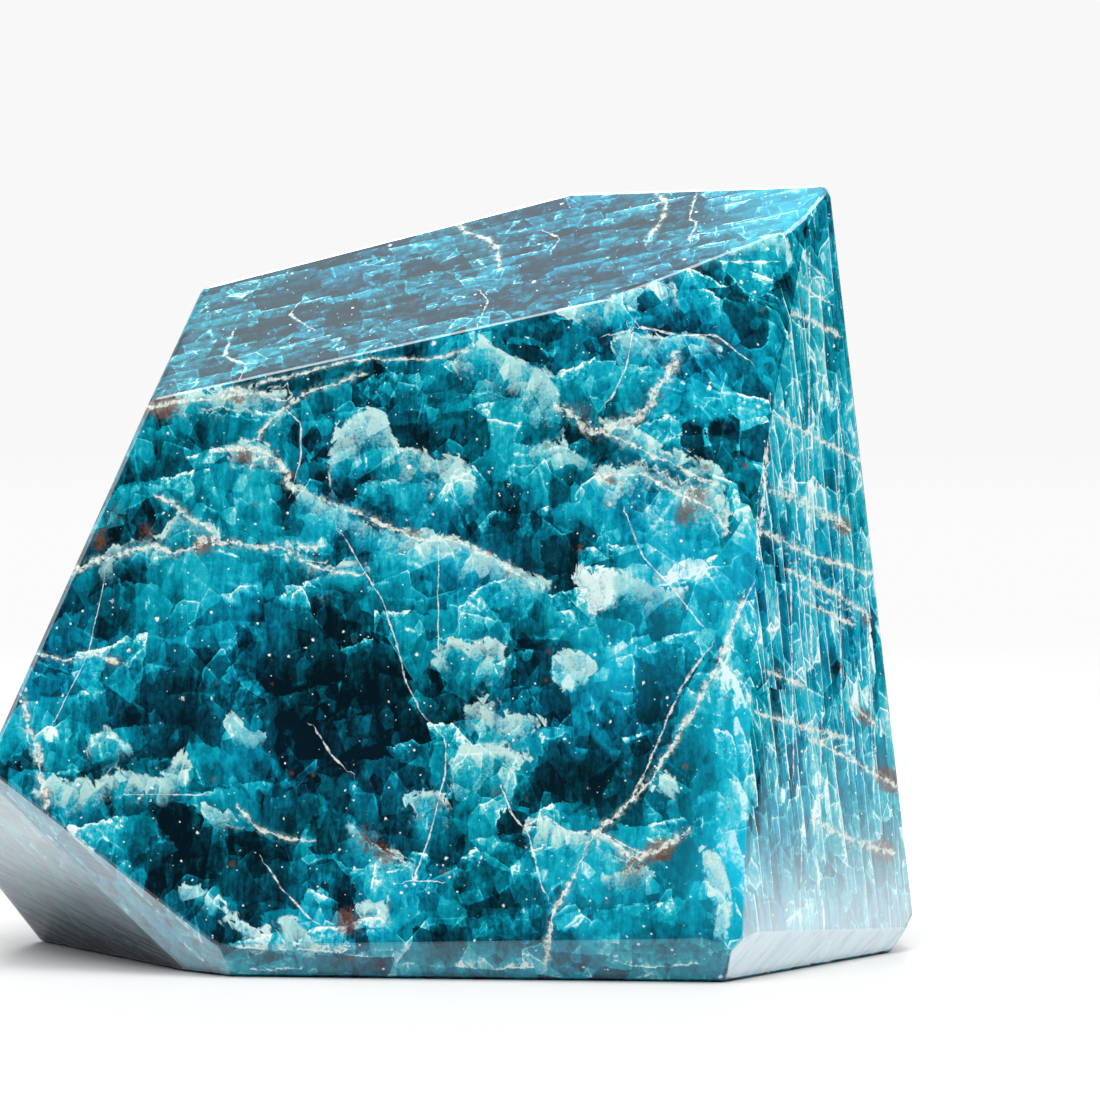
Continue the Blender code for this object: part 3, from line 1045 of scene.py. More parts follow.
# Sizes in millimetres: upright sheets with their blocks, and angular grains
BROAD_SHEETS = {"thickness": 1.9, "width": 7.0, "height": 9.0, "seed": 0.3}
FINE_SHEETS = {"thickness": 0.75, "width": 3.0, "height": 4.2, "seed": 0.7}
PANELS = {"size": (3.6, 2.0, 6.0), "wobble": 0.4}
GRAINS = {"size": (1.3, 0.9, 2.2), "wobble": 0.3}
SHEET_PATCH = (8.0, 6.5, 12.0)
PATCH_SHIFT = 2.6
SHEET_SLANT = 0.06
SHEET_FRAY = 0.20
BLOCK_FRAY = (0.6, -0.8)
BLOCK_TURN = 3.7
CHIP_SLANT = 0.7
CHIPS = (((2.4, 2.4, 3.4), 0.52), ((1.2, 1.6, 2.2), 0.34), ((0.55, 0.6, 0.8), 0.20))
TORN_SHARE = 0.30
TORN_START = -0.68

# A seam's share of fraying, its solid part, and the laid widths' shares on seams and on hairs
SEAM_FRAY = 0.20
SEAM_CORE = 0.5
SEAM_WIDTH = 0.58
HAIR_WIDTH = 0.46

# How steeply sheets brighten towards their upper side, and how pale crests break into grains
LIFT_POWER = 2.4
FINE_LIFT_POWER = 3.0
WHITE_POWER = 2.2
# PANEL_RISE is painted light: how much lighter each panel grows towards its upper side
PANEL_RISE = 0.11
NET_REACH = 0.9
CREST_LINE = 0.9
CREST_GRAIN = 0.50
CREST_PANEL = 0.44
CREST_SPECKLE = 1.50
STAIN_SPECKLE = 1.9

# Specks in millimetres: how far apart their cells lie, how large they are and how many cells hold one;
# the bright ones are white inclusions and painted glints, the rust dots are stain
FINE_SPECKS_AND_GLINTS = {"spacing": 0.85, "size": 0.10, "share": 0.32}
STARS = {"spacing": 1.8, "size": 0.17, "share": 0.52}
COARSE_SPECKS_AND_GLINTS = {"spacing": 3.1, "size": 0.26, "share": 0.50}
RUST_DOTS = {"spacing": 2.4, "size": 0.34, "share": 0.20}
SPECK_FRAY = 0.16
SPECK_CORE = 0.45


class StoneGroups:
    """The shader groups that the stone's material is made of, each built once."""

    def __init__(self) -> None:
        self.jagged = self.build_jagged()
        self.sheets = self.build_sheets()
        self.grain = self.build_grain()
        self.ragged = self.build_ragged()
        self.seam = self.build_seam()
        self.specks = self.build_specks()

    def build_jagged(self) -> bpy.types.NodeTree:
        """A value about 0 that jumps from one angular chip to the next, for torn crystal borders."""
        graph, takes, gives = open_group("jagged", {"Place": "Vector"}, {"Value": "Float"})
        place = takes["Place"]
        rise = graph.split(place)[2]
        slanted = graph.vector("ADD", place, graph.join(graph.times(rise, CHIP_SLANT), 0.0, 0.0))
        value = TORN_START
        for (size, share), where in zip(CHIPS, (place, slanted, place)):
            chip = graph.cells(graph.vector("DIVIDE", where, size))["Color"]
            value = graph.fit(graph.split(chip)[0], share, value)
        torn = graph.noise(place, NOISE.torn)[0]
        graph.feed(gives["Value"], graph.fit(torn, TORN_SHARE, value))
        return graph.tree

    def build_sheets(self) -> bpy.types.NodeTree:
        """Cleavage sheets that stand upright across the stone, each broken into its own blocks."""
        graph, takes, gives = open_group(
            "cleavage_sheets",
            {
                "Place": "Vector",
                "Fray": "Float",
                "Thickness": "Float",
                "Width": "Float",
                "Height": "Float",
                "Seed": "Float",
            },
            {"Tone": "Float", "Chance": "Float", "Rise": "Float", "Line": "Float", "Joint": "Float"},
        )
        x, y, z = graph.split(takes["Place"])
        bend = graph.noise(takes["Place"], NOISE.bend)[0]
        patch = graph.cells(graph.vector("DIVIDE", takes["Place"], SHEET_PATCH))["Color"]
        shift = graph.plus(bend, y)
        shift = graph.fit(graph.split(patch)[0], PATCH_SHIFT, shift)
        shift = graph.fit(x, SHEET_SLANT, shift)
        shift = graph.fit(takes["Fray"], SHEET_FRAY, shift)
        phase = graph.plus(graph.ratio(shift, takes["Thickness"]), takes["Seed"])
        number = graph.math("FLOOR", phase)
        inside = graph.math("FRACT", phase)
        wx = graph.fit(takes["Fray"], BLOCK_FRAY[0], x)
        wz = graph.fit(takes["Fray"], BLOCK_FRAY[1], z)
        spot = graph.join(
            graph.ratio(wx, takes["Width"]),
            graph.times(number, BLOCK_TURN),
            graph.ratio(wz, takes["Height"]),
        )
        block = graph.cells(spot)
        joint = graph.cells(spot, "DISTANCE_TO_EDGE")["Distance"]
        tone, chance, _ = graph.split(block["Color"])
        graph.feed(gives["Tone"], tone)
        graph.feed(gives["Chance"], chance)
        graph.feed(gives["Rise"], inside)
        graph.feed(gives["Line"], graph.step(inside, *STEP.sheet_line))
        graph.feed(gives["Joint"], graph.step(joint, *STEP.sheet_joint))
        return graph.tree

    def build_grain(self) -> bpy.types.NodeTree:
        """Angular crystal grains: a tone for each, and a painted highlight along its upper side."""
        graph, takes, gives = open_group(
            "crystal_grain",
            {"Place": "Vector", "Size": "Vector", "Wobble": "Float"},
            {"Tone": "Float", "Rise": "Float", "Edge": "Float"},
        )
        wobble = graph.noise(takes["Place"], NOISE.wobble)["Color"]
        push = graph.vector("SCALE", graph.vector("SUBTRACT", wobble, (0.5, 0.5, 0.5)), takes["Wobble"])
        spot = graph.vector("DIVIDE", graph.vector("ADD", takes["Place"], push), takes["Size"])
        cell = graph.cells(spot)
        edge = graph.cells(spot, "DISTANCE_TO_EDGE")["Distance"]
        rise = graph.split(graph.vector("SUBTRACT", spot, cell["Position"]))[2]
        graph.feed(gives["Tone"], graph.split(cell["Color"])[0])
        graph.feed(gives["Rise"], rise)
        # Painted highlight along each grain's upper side, as if lit from above
        lit = graph.times(graph.step(edge, *STEP.grain_edge), graph.step(rise, *STEP.grain_rise))
        graph.feed(gives["Edge"], lit)
        return graph.tree

    def build_ragged(self) -> bpy.types.NodeTree:
        """A mask from a distance, with a torn border, and the light rim along parts of that border."""
        graph, takes, gives = open_group(
            "ragged_border",
            {
                "Distance": "Float",
                "Place": "Vector",
                "Fray": "Float",
                "Tear": "Float",
                "Softness": "Float",
            },
            {"Mask": "Float", "Rim": "Float"},
        )
        torn = graph.fit(takes["Fray"], takes["Tear"], takes["Distance"])
        low = graph.times(takes["Softness"], -1.0)
        graph.feed(gives["Mask"], graph.step(torn, low, takes["Softness"]))
        rim = graph.step(graph.math("ABSOLUTE", torn), *STEP.rim)
        some = graph.step(graph.noise(takes["Place"], NOISE.rim)[0], *STEP.rim_parts)
        graph.feed(gives["Rim"], graph.times(rim, some))
        return graph.tree

    def build_seam(self) -> bpy.types.NodeTree:
        """A mineral seam from the distances to its line: a crisp core and a feathery halo."""
        graph, takes, gives = open_group(
            "mineral_seam",
            {
                "Signed": "Float",
                "Gap": "Float",
                "Width": "Float",
                "Place": "Vector",
                "Fray": "Float",
                "Wander": "Float",
            },
            {"Core": "Float", "Halo": "Float"},
        )
        drift = graph.noise(takes["Place"], NOISE.drift)[0]
        drift = graph.fit(takes["Fray"], SEAM_FRAY, graph.math("SUBTRACT", drift, 0.5))
        gap = graph.fit(drift, takes["Wander"], takes["Signed"])
        gap = graph.math("ABSOLUTE", gap)
        swell = graph.noise(takes["Place"], NOISE.swell)[0]
        width = graph.times(takes["Width"], graph.step(swell, *STEP.seam_swell))
        near = graph.step(takes["Gap"], *STEP.seam_near)
        core = graph.step(gap, graph.fit(width, *FIT.seam_reach), graph.times(width, SEAM_CORE))
        frost = graph.noise(takes["Place"], NOISE.feather)[0]
        broken = graph.step(frost, *STEP.seam_broken)
        graph.feed(gives["Core"], graph.times(core, broken, near))
        halo = graph.step(gap, graph.fit(takes["Width"], *FIT.halo_reach), 0.0)
        frosted = graph.times(graph.step(frost, *STEP.halo_frost), graph.step(swell, *STEP.halo_swell))
        graph.feed(gives["Halo"], graph.times(halo, frosted, near))
        return graph.tree

    def build_specks(self) -> bpy.types.NodeTree:
        """Small bright specks of uneven size, in some of the cells only: white inclusions and painted
        glints of tiny pits.
        """
        graph, takes, gives = open_group(
            "specks",
            {"Place": "Vector", "Spacing": "Float", "Size": "Float", "Share": "Float"},
            {"Mask": "Float"},
        )
        scaled = graph.vector("SCALE", takes["Place"], graph.ratio(1.0, takes["Spacing"]))
        fray = graph.noise(takes["Place"], NOISE.speck)["Color"]
        scaled = graph.vector("ADD", scaled, graph.vector("SCALE", fray, SPECK_FRAY))
        cell = graph.cells(scaled)
        chance, size, _ = graph.split(cell["Color"])
        reach = graph.ratio(takes["Size"], takes["Spacing"])
        reach = graph.times(reach, graph.fit(size, *FIT.speck_size))
        dot = graph.step(cell["Distance"], reach, graph.times(reach, SPECK_CORE))
        here = graph.math("LESS_THAN", chance, takes["Share"])
        graph.feed(gives["Mask"], graph.times(dot, here))
        return graph.tree


@dataclass(frozen=True)
class PolishedApatite:
    """The stone's finish and painted light: its colours from dark to light, its painted glow, reflection
    of the table and shade, and how its polish shines.
    """

    tones: tuple[tuple[float, str], ...] = (
        (0.00, "021722"),
        (0.15, "033444"),
        (0.30, "04566b"),
        (0.45, "057a91"),
        (0.60, "0a9ab0"),
        (0.72, "2aafc0"),
        (0.84, "78c8d0"),
        (1.00, "e4efee"),
    )
    green: str = "0a8a78"
    blue: str = "0a6ab0"
    glow: str = "20c2e4"
    chalk: str = "f0f4f1"
    seam: str = "eff0e6"
    mint: str = "9fd6d8"
    frost: str = "c4e2dc"
    sand: str = "c2baa0"
    rust: str = "6e3a1a"
    slate: str = "4c7484"
    # Painted reflection of the pale table and painted shade, for the bevels near the base
    table_reflection: str = "e2f1f9"
    shade: str = "15242e"
    roughness: tuple[float, float] = (0.04, 0.11)
    edge_roughness: float = 0.26
    refraction: float = 1.63
    tint: float = 0.6
    glow_share: float = 0.8
    top_veil: float = 0.20
    relief: float = 0.07
    relief_depth: float = 0.05 * MM

    def body_tone(self, graph: Graph, groups: StoneGroups, place: object) -> dict[str, object]:
        """The tone of the stone's body, and the values that later steps share.

        Args:
            graph: the material's graph.
            groups: the shader groups.
            place: the place in millimetres.

        Returns:
            The sockets by name.
        """
        pane = graph.attribute("pane")
        flake = graph.attribute("flake")
        field = graph.attribute("field")
        fray = graph.place(groups.jagged, place=place)["Value"]
        rails = graph.attribute("sides")[2]
        uneven = graph.noise(place, NOISE.uneven)[0]
        push = graph.times(rails, graph.fit(uneven, *FIT.spread))
        spread = graph.vector("ADD", place, graph.join(0.0, push, 0.0))
        sheets = graph.place(groups.sheets, place=spread, fray=fray, **BROAD_SHEETS)
        fine = graph.place(groups.sheets, place=spread, fray=fray, **FINE_SHEETS)
        panel = graph.place(groups.grain, place=place, **PANELS)
        grain = graph.place(groups.grain, place=place, **GRAINS)
        kinds = (NOISE.slow, NOISE.wash, NOISE.streak, NOISE.mottle, NOISE.speckle, NOISE.hatch)
        slow, wash, streak, mottle, speckle, hatch = (graph.noise(place, kind)[0] for kind in kinds)

        tone = graph.fit(sheets["Tone"], *FIT.base)
        tone = graph.plus(tone, graph.swing(slow, SWING.slow))
        torn = {"place": place, "fray": fray}
        big = graph.place(groups.ragged, distance=pane[0], **PANE_BORDER, **torn)
        inner = graph.plus(pane[1], graph.swing(sheets["Tone"], SWING.inner))
        tone = graph.blend(graph.times(big["Mask"], WEIGHT.pane), tone, inner)
        small = graph.place(groups.ragged, distance=flake[0], **FLAKE_BORDER, **torn)
        tone = graph.blend(graph.times(small["Mask"], WEIGHT.flake), tone, flake[1])
        calm = graph.fit(rails, *FIT.calm)
        detail = graph.plus(graph.swing(streak, SWING.streak), graph.swing(hatch, SWING.hatch))
        detail = graph.fit(detail, calm, graph.swing(wash, SWING.wash))
        detail = graph.plus(detail, graph.swing(sheets["Rise"], SWING.rise))
        detail = graph.plus(detail, graph.swing(fine["Tone"], SWING.fine))
        some = graph.step(graph.noise(place, NOISE.chipped)[0], *STEP.chip_patches)
        chipped = graph.swing(panel["Tone"], SWING.panel)
        chipped = graph.plus(chipped, graph.swing(grain["Tone"], SWING.grain))
        # Painted light: each panel is lighter towards its upper side
        chipped = graph.fit(panel["Rise"], PANEL_RISE, chipped)
        detail = graph.fit(chipped, graph.fit(some, *FIT.chipped), detail)
        detail = graph.plus(detail, graph.swing(mottle, SWING.mottle))
        bright = graph.step(grain["Tone"], *STEP.bright_grain)
        dark = graph.step(grain["Tone"], *STEP.dark_grain)
        detail = graph.plus(detail, graph.plus(bright, dark))
        swings = graph.step(tone, *STEP.swing_room)
        tone = graph.plus(tone, graph.times(detail, swings))
        tone = graph.plus(tone, field[0])
        lit = graph.most(graph.step(tone, *STEP.lit), rails)
        frost = graph.step(graph.noise(place, NOISE.frost)[0], *STEP.frosted)
        chosen = graph.step(sheets["Chance"], *STEP.lifted_sheets)
        lift = graph.times(graph.math("POWER", sheets["Rise"], LIFT_POWER), graph.times(chosen, frost))
        lift = graph.times(lift, WEIGHT.lift, calm)
        little = graph.step(fine["Chance"], *STEP.lifted_fine)
        little = graph.times(graph.math("POWER", fine["Rise"], FINE_LIFT_POWER), little)
        lift = graph.fit(graph.times(little, calm), WEIGHT.fine_lift, lift)
        often = graph.times(rails, graph.step(sheets["Chance"], *STEP.rail_sheets))
        line = graph.times(sheets["Line"], graph.most(chosen, often))
        line = graph.times(line, graph.fit(rails, *FIT.rail_line))
        thin = graph.times(fine["Line"], graph.step(fine["Chance"], *STEP.thin_rails))
        thin = graph.times(thin, rails, WEIGHT.thin_rail)
        rim = graph.times(graph.most(big["Rim"], small["Rim"]), WEIGHT.rim)
        # The net: pale joints between blocks, with the painted highlights along the upper sides of panels
        # and grains
        net = graph.most(graph.times(sheets["Joint"], WEIGHT.joint), panel["Edge"])
        net = graph.most(net, graph.times(grain["Edge"], WEIGHT.grain_edge))
        over = graph.attribute("lie")[2]
        some = graph.most(some, graph.times(graph.most(over, rails), NET_REACH))
        net = graph.times(net, some, graph.fit(over, *FIT.top_net))
        line = graph.most(line, thin, graph.most(rim, net))
        tone = graph.fit(graph.plus(lift, line), lit, tone)
        shelf = graph.attribute("shelf")
        fall = graph.math("SUBTRACT", 1.0, shelf[1])
        soft = graph.fit(fall, *FIT.shelf_soft)
        ragged = graph.place(groups.ragged, distance=shelf[0], tear=SHELF_TEAR, softness=soft, **torn)
        crest = ragged["Mask"]
        brim = graph.times(ragged["Rim"], graph.step(shelf[1], *STEP.brim))
        under = graph.times(crest, graph.step(shelf[1], *STEP.under_crest))
        height = graph.fit(graph.times(shelf[1], shelf[2]), *FIT.crest_tone)
        height = graph.fit(graph.most(line, net), CREST_LINE, height)
        tone = graph.blend(under, tone, graph.plus(detail, height))
        return {
            "tone": tone, "grain": grain["Tone"], "panel": panel["Tone"], "slow": slow,
            "mottle": mottle, "speckle": speckle, "rails": rails, "stain": field[1],
            "glow": field[2], "fray": fray, "over": over, "crest": crest,
            "left": shelf[1], "white": shelf[2], "torn": brim,
        }

    def crested(self, graph: Graph, place: object, body: dict, colour: object) -> object:
        """Adds the pale tops of the laid shelves.

        Args:
            graph: the material's graph.
            place: the place in millimetres.
            body: the values of body_tone.
            colour: the body's colour.

        Returns:
            The colour with its crests.
        """
        chips = graph.times(body["grain"], CREST_GRAIN)
        chips = graph.fit(body["panel"], CREST_PANEL, chips)
        chips = graph.fit(body["speckle"], CREST_SPECKLE, chips)
        chips = graph.plus(body["left"], chips)
        strong = graph.math("POWER", body["white"], WHITE_POWER)
        share = graph.times(graph.step(chips, *STEP.crest_chips), graph.times(strong, body["crest"]))
        brink = graph.times(graph.step(body["left"], *STEP.brink), body["crest"])
        broken = graph.step(graph.noise(place, NOISE.broken)[0], *STEP.brink_parts)
        brink = graph.times(brink, broken, WEIGHT.brink)
        share = graph.most(share, brink, graph.times(body["torn"], WEIGHT.brim))
        sandy = graph.step(body["speckle"], *STEP.sandy_crest)
        pale = graph.mix(sandy, srgb(self.frost), srgb(self.sand))
        pale = graph.mix(graph.step(body["white"], *STEP.chalky_crest), pale, srgb(self.chalk))
        return graph.mix(share, colour, pale)

    def seamed(
        self, graph: Graph, groups: StoneGroups, place: object, body: dict, colour: object
    ) -> object:
        """Adds the stain, the mineral seams and the specks.

        Args:
            graph: the material's graph.
            groups: the shader groups.
            place: the place in millimetres.
            body: the values of body_tone.
            colour: the colour so far.

        Returns:
            The colour of the polished stone.
        """
        stain = graph.step(graph.fit(body["speckle"], STAIN_SPECKLE, body["stain"]), *STEP.stain)
        colour = graph.mix(graph.times(stain, WEIGHT.stain), colour, srgb(self.rust))
        seam, thin = (
            graph.place(
                groups.seam,
                signed=line[0],
                gap=line[1],
                width=graph.times(line[2], share),
                place=place,
                fray=body["fray"],
                wander=graph.fit(body["rails"], *wander),
            )
            for line, share, wander in (
                (graph.attribute("vein"), SEAM_WIDTH, FIT.vein_wander),
                (graph.attribute("hair"), HAIR_WIDTH, FIT.hair_wander),
            )
        )
        colour = graph.mix(graph.times(seam["Halo"], WEIGHT.halo), colour, srgb(self.mint))
        sandy = graph.step(body["speckle"], *STEP.sandy_seam)
        cream = graph.mix(sandy, srgb(self.seam), srgb(self.sand))
        colour = graph.mix(graph.times(seam["Core"], WEIGHT.core), colour, cream)
        colour = graph.mix(graph.times(thin["Core"], WEIGHT.hair), colour, srgb(self.chalk))
        fine_specks_and_glints, stars, coarse_specks_and_glints, dots = (
            graph.place(groups.specks, place=place, **kind)["Mask"]
            for kind in (FINE_SPECKS_AND_GLINTS, STARS, COARSE_SPECKS_AND_GLINTS, RUST_DOTS)
        )
        # Bright specks: white inclusions and painted glints
        bright = graph.times(graph.most(fine_specks_and_glints, stars, coarse_specks_and_glints), WEIGHT.speck)
        colour = graph.mix(bright, colour, srgb(self.chalk))
        return graph.mix(graph.times(dots, WEIGHT.rust_dot), colour, srgb(self.rust))

    def material(self, groups: StoneGroups) -> bpy.types.Material:
        """The material, made from the shader groups."""
        material = bpy.data.materials.new("polished_apatite_detail")
        material.use_nodes = True
        material.node_tree.nodes.clear()
        graph = Graph(material.node_tree)
        coordinates = graph.add("ShaderNodeTexCoord").outputs["Object"]
        place = graph.vector("SCALE", coordinates, 1.0 / MM)
        body = self.body_tone(graph, groups, place)
        colour = graph.ramp(body["tone"], self.tones)
        for code, end, share in ((self.green, 0.60, 0.8), (self.blue, 0.36, 0.28)):
            tinted = graph.mix(self.tint, colour, srgb(code), "SOFT_LIGHT")
            colour = graph.mix(graph.step(body["slow"], 0.46, end, (0.0, share)), colour, tinted)
        glowing = graph.math("MULTIPLY", body["glow"], self.glow_share, clamp=True)
        colour = graph.mix(glowing, colour, srgb(self.glow))
        colour = self.crested(graph, place, body, colour)
        colour = self.seamed(graph, groups, place, body, colour)

        colour = graph.mix(graph.times(body["over"], self.top_veil), colour, srgb(self.slate))
        # Painted light near the base: a streaked reflection of the pale table, and shade towards it
        table_reflection, shade, _ = graph.attribute("sides")
        across, along, _ = graph.attribute("lie")
        brush = graph.noise(graph.join(across, along, 0.0), NOISE.brush)[0]
        pale = graph.step(brush, *STEP.reflection_marks)
        dark = graph.step(brush, *STEP.shade_marks)
        for share, marks, code in ((table_reflection, pale, self.table_reflection), (shade, dark, self.shade)):
            covered = graph.math("MULTIPLY", share, marks, clamp=True)
            colour = graph.mix(covered, colour, srgb(code))

        surface = graph.add("ShaderNodeBsdfPrincipled")
        graph.feed(surface.inputs["Base Color"], colour)
        surface.inputs["IOR"].default_value = self.refraction
        rubbed = graph.add("ShaderNodeAttribute", attribute_name="worn").outputs["Fac"]
        polish = graph.step(body["mottle"], *STEP.polish, self.roughness)
        graph.feed(surface.inputs["Roughness"], graph.fit(rubbed, self.edge_roughness, polish))
        relief = graph.add("ShaderNodeBump")
        relief.inputs["Strength"].default_value = self.relief
        relief.inputs["Distance"].default_value = self.relief_depth
        graph.feed(relief.inputs["Height"], body["mottle"])
        graph.feed(surface.inputs["Normal"], relief.outputs[0])
        output = graph.add("ShaderNodeOutputMaterial")
        graph.feed(output.inputs["Surface"], surface.outputs["BSDF"])
        return material


class HandPolish:
    """The slight waves that hand polishing leaves, and small nicks on the edges, as a node tree."""

    def __init__(self) -> None:
        self.tree = bpy.data.node_groups.new("hand_polish", "GeometryNodeTree")
        self.inputs: dict[str, str] = {}
        self.take("Geometry", "NodeSocketGeometry", None)
        self.take("Wave Depth", "NodeSocketFloat", 0.06 * MM)
        self.take("Waves Per Metre", "NodeSocketFloat", 70.0)
        self.take("Nick Depth", "NodeSocketFloat", 0.22 * MM)
        self.take("Nicks Per Metre", "NodeSocketFloat", 620.0)
        self.take("Foot Height", "NodeSocketFloat", 1.0 * MM)
        self.take("Seed", "NodeSocketFloat", 4.0)
        self.take("Finish", "NodeSocketMaterial", None)
        self.tree.interface.new_socket("Geometry", in_out="OUTPUT", socket_type="NodeSocketGeometry")
        self.link_nodes()

    def take(self, name: str, kind: str, value: object) -> None:
        """Adds a named input and keeps its identifier."""
        socket = self.tree.interface.new_socket(name, in_out="INPUT", socket_type=kind)
        self.inputs[name] = socket.identifier
        if value is not None:
            socket.default_value = value

    def link_nodes(self) -> None:
        """Moves each point a little inwards, and more where a nick falls on a worn edge."""
        graph = Graph(self.tree)
        takes = graph.add("NodeGroupInput").outputs
        normal = graph.add("GeometryNodeInputNormal").outputs[0]
        place = graph.add("GeometryNodeInputPosition").outputs[0]
        worn = graph.add("GeometryNodeInputNamedAttribute", data_type="FLOAT")
        worn.inputs["Name"].default_value = "worn"
        wave = graph.add("ShaderNodeTexNoise", noise_dimensions="4D")
        nick = graph.add("ShaderNodeTexNoise", noise_dimensions="4D")
        for node, scale in ((wave, takes["Waves Per Metre"]), (nick, takes["Nicks Per Metre"])):
            graph.feed(node.inputs["Vector"], place)
            graph.feed(node.inputs["W"], takes["Seed"])
            graph.feed(node.inputs["Scale"], scale)
        wave.inputs["Detail"].default_value = 1.0
        depth = graph.times(wave.outputs[0], takes["Wave Depth"])
        bite = graph.step(nick.outputs[0], 0.56, 0.72)
        bite = graph.times(bite, worn.outputs[0], takes["Nick Depth"])
        depth = graph.plus(depth, bite)
        clear = graph.step(graph.split(place)[2], 0.0, takes["Foot Height"])
        depth = graph.times(depth, clear, -1.0)
        move = graph.add("GeometryNodeSetPosition")
        graph.feed(move.inputs["Geometry"], takes["Geometry"])
        graph.feed(move.inputs["Offset"], graph.vector("SCALE", normal, depth))
        whole = graph.add("GeometryNodeRealizeInstances")
        graph.feed(whole.inputs[0], move.outputs[0])
        dress = graph.add("GeometryNodeSetMaterial")
        graph.feed(dress.inputs["Geometry"], whole.outputs[0])
        graph.feed(dress.inputs["Material"], takes["Finish"])
        graph.feed(graph.add("NodeGroupOutput").inputs[0], dress.outputs[0])

    def apply(self, piece: bpy.types.Object, finish: bpy.types.Material) -> bpy.types.Mesh:
        """The piece's mesh after the tree.

        Args:
            piece: the piece, already in the scene.
            finish: the material that the tree sets.

        Returns:
            A new plain mesh.
        """
        modifier = piece.modifiers.new("hand_polish", "NODES")
        modifier.node_group = self.tree
        modifier[self.inputs["Finish"]] = finish
        graph = bpy.context.evaluated_depsgraph_get()
        mesh = bpy.data.meshes.new_from_object(piece.evaluated_get(graph), depsgraph=graph)
        piece.modifiers.remove(modifier)
        return mesh


@dataclass
class Stone:
    """The stone itself: a fine copy of the CAD solid with its markings and its finish."""

    spacing: float = 1.50 * MM
    merge: float = 0.002 * MM
    flat_angle: float = math.radians(0.05)
    sheets_show: tuple[float, float] = (24.0, 44.0)
    sheets_end: tuple[float, float] = (120.0, 90.0)
    looks_up: tuple[float, float] = (50.0, 25.0)
    is_top: tuple[float, float] = (30.0, 50.0)
    top_from: float = 35.0
    back_from: float = 110.0
    right_from: float = 38.0
    back_shift: tuple[float, float] = (6.0, 2.0)
    worn_from: tuple[float, float] = (0.96, 0.998)

    def fine_mesh(self, node: bpy.types.Object) -> bpy.types.Mesh:
        """A closed copy of a CAD node's mesh with small, even triangles.

        Args:
            node: the CAD node.

        Returns:
            The new mesh.
        """
        shell = bmesh.new()
        shell.from_mesh(node.data)
        bmesh.ops.remove_doubles(shell, verts=shell.verts[:], dist=self.merge)
        bmesh.ops.dissolve_limit(
            shell, angle_limit=self.flat_angle, verts=shell.verts[:], edges=shell.edges[:]
        )
        bmesh.ops.triangulate(shell, faces=shell.faces[:], ngon_method="BEAUTY")
        long = [edge for edge in shell.edges if edge.calc_length() > self.spacing]
        while long:
            bmesh.ops.subdivide_edges(shell, edges=long, cuts=1)
            wide = [face for face in shell.faces if len(face.verts) > 3]
            bmesh.ops.triangulate(shell, faces=wide, quad_method="SHORT_EDGE", ngon_method="BEAUTY")
            long = [edge for edge in shell.edges if edge.calc_length() > self.spacing]
        mesh = bpy.data.meshes.new("apatite_stone")
        shell.to_mesh(mesh)
        shell.free()
        mesh.shade_smooth()
        return mesh

    def mark(self, mesh: bpy.types.Mesh) -> None:
        """Writes the markings to the mesh as attributes."""
        count = len(mesh.vertices)
        places = np.empty(count * 3, np.float32)
        mesh.vertices.foreach_get("co", places)
        places = places.reshape(-1, 3).astype(float) / MM
        normals = np.empty(count * 3, np.float32)
        mesh.vertex_normals.foreach_get("vector", normals)
        normals = normals.reshape(-1, 3)
        turn = np.degrees(np.arctan2(normals[:, 0], -normals[:, 1]))
        lean = np.degrees(np.arcsin(np.clip(normals[:, 2], -1.0, 1.0)))
        marker = Marker(count)
        rails = smooth(*self.sheets_show, turn) * smooth(*self.sheets_end, turn)
        marker.sides[:, 2] = rails * smooth(*self.looks_up, lean)
        marker.lie[:, 2] = smooth(*self.is_top, lean)
        top = lean > self.top_from
        back = (np.abs(turn) > self.back_from) & ~top
        right = (turn > self.right_from) & ~top & ~back
        front = ~top & ~back & ~right
        x, y, z = places.T
        mirrored = (self.back_shift[0] - x, self.back_shift[1] + z)
        for side, mine, across in (
            (Side.FRONT, front, (x, z)),
            (Side.RIGHT, right, (y, z)),
            (Side.TOP, top, (x, y)),
            (Side.FRONT, back, mirrored),
        ):
            marker.lay(LAYOUTS[side], mine, np.stack(across, 1)[mine])
        for foot in FEET:
            marker.lay_foot(foot, places, normals)
        for name in marker.NAMES:
            attribute = mesh.attributes.new(name, "FLOAT_VECTOR", "POINT")
            attribute.data.foreach_set("vector", getattr(marker, name).astype(np.float32).ravel())
        attribute = mesh.attributes.new("worn", "FLOAT", "POINT")
        attribute.data.foreach_set("value", self.worn_edges(mesh).astype(np.float32))

    def worn_edges(self, mesh: bpy.types.Mesh) -> np.ndarray:
        """How sharply the surface turns at each point, 1 on the rounded edges and 0 on the facets."""
        normals = np.empty(len(mesh.polygons) * 3, np.float32)
        mesh.polygon_normals.foreach_get("vector", normals)
        normals = normals.reshape(-1, 3)
        corners = np.empty(len(mesh.loops), np.int32)
        mesh.loops.foreach_get("vertex_index", corners)
        total = np.zeros((len(mesh.vertices), 3))
        number = np.zeros(len(mesh.vertices))
        np.add.at(total, corners, np.repeat(normals, 3, axis=0))
        np.add.at(number, corners, 1.0)
        return 1.0 - smooth(*self.worn_from, np.linalg.norm(total, axis=1) / number)

    def build(self, node: bpy.types.Object, finish: PolishedApatite) -> bpy.types.Object:
        """The finished stone.

        Args:
            node: the CAD node that it replaces.
            finish: its finish.

        Returns:
            The new piece.
        """
        mesh = self.fine_mesh(node)
        self.mark(mesh)
        piece = bpy.data.objects.new("apatite_stone", mesh)
        bpy.context.scene.collection.objects.link(piece)
        piece.data = HandPolish().apply(piece, finish.material(StoneGroups()))
        piece.data.name = "apatite_stone"
        bpy.data.meshes.remove(mesh)
        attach(piece, "root")
        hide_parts(STONE)
        LOG.info("stone: %d triangles", len(piece.data.polygons))
        return piece


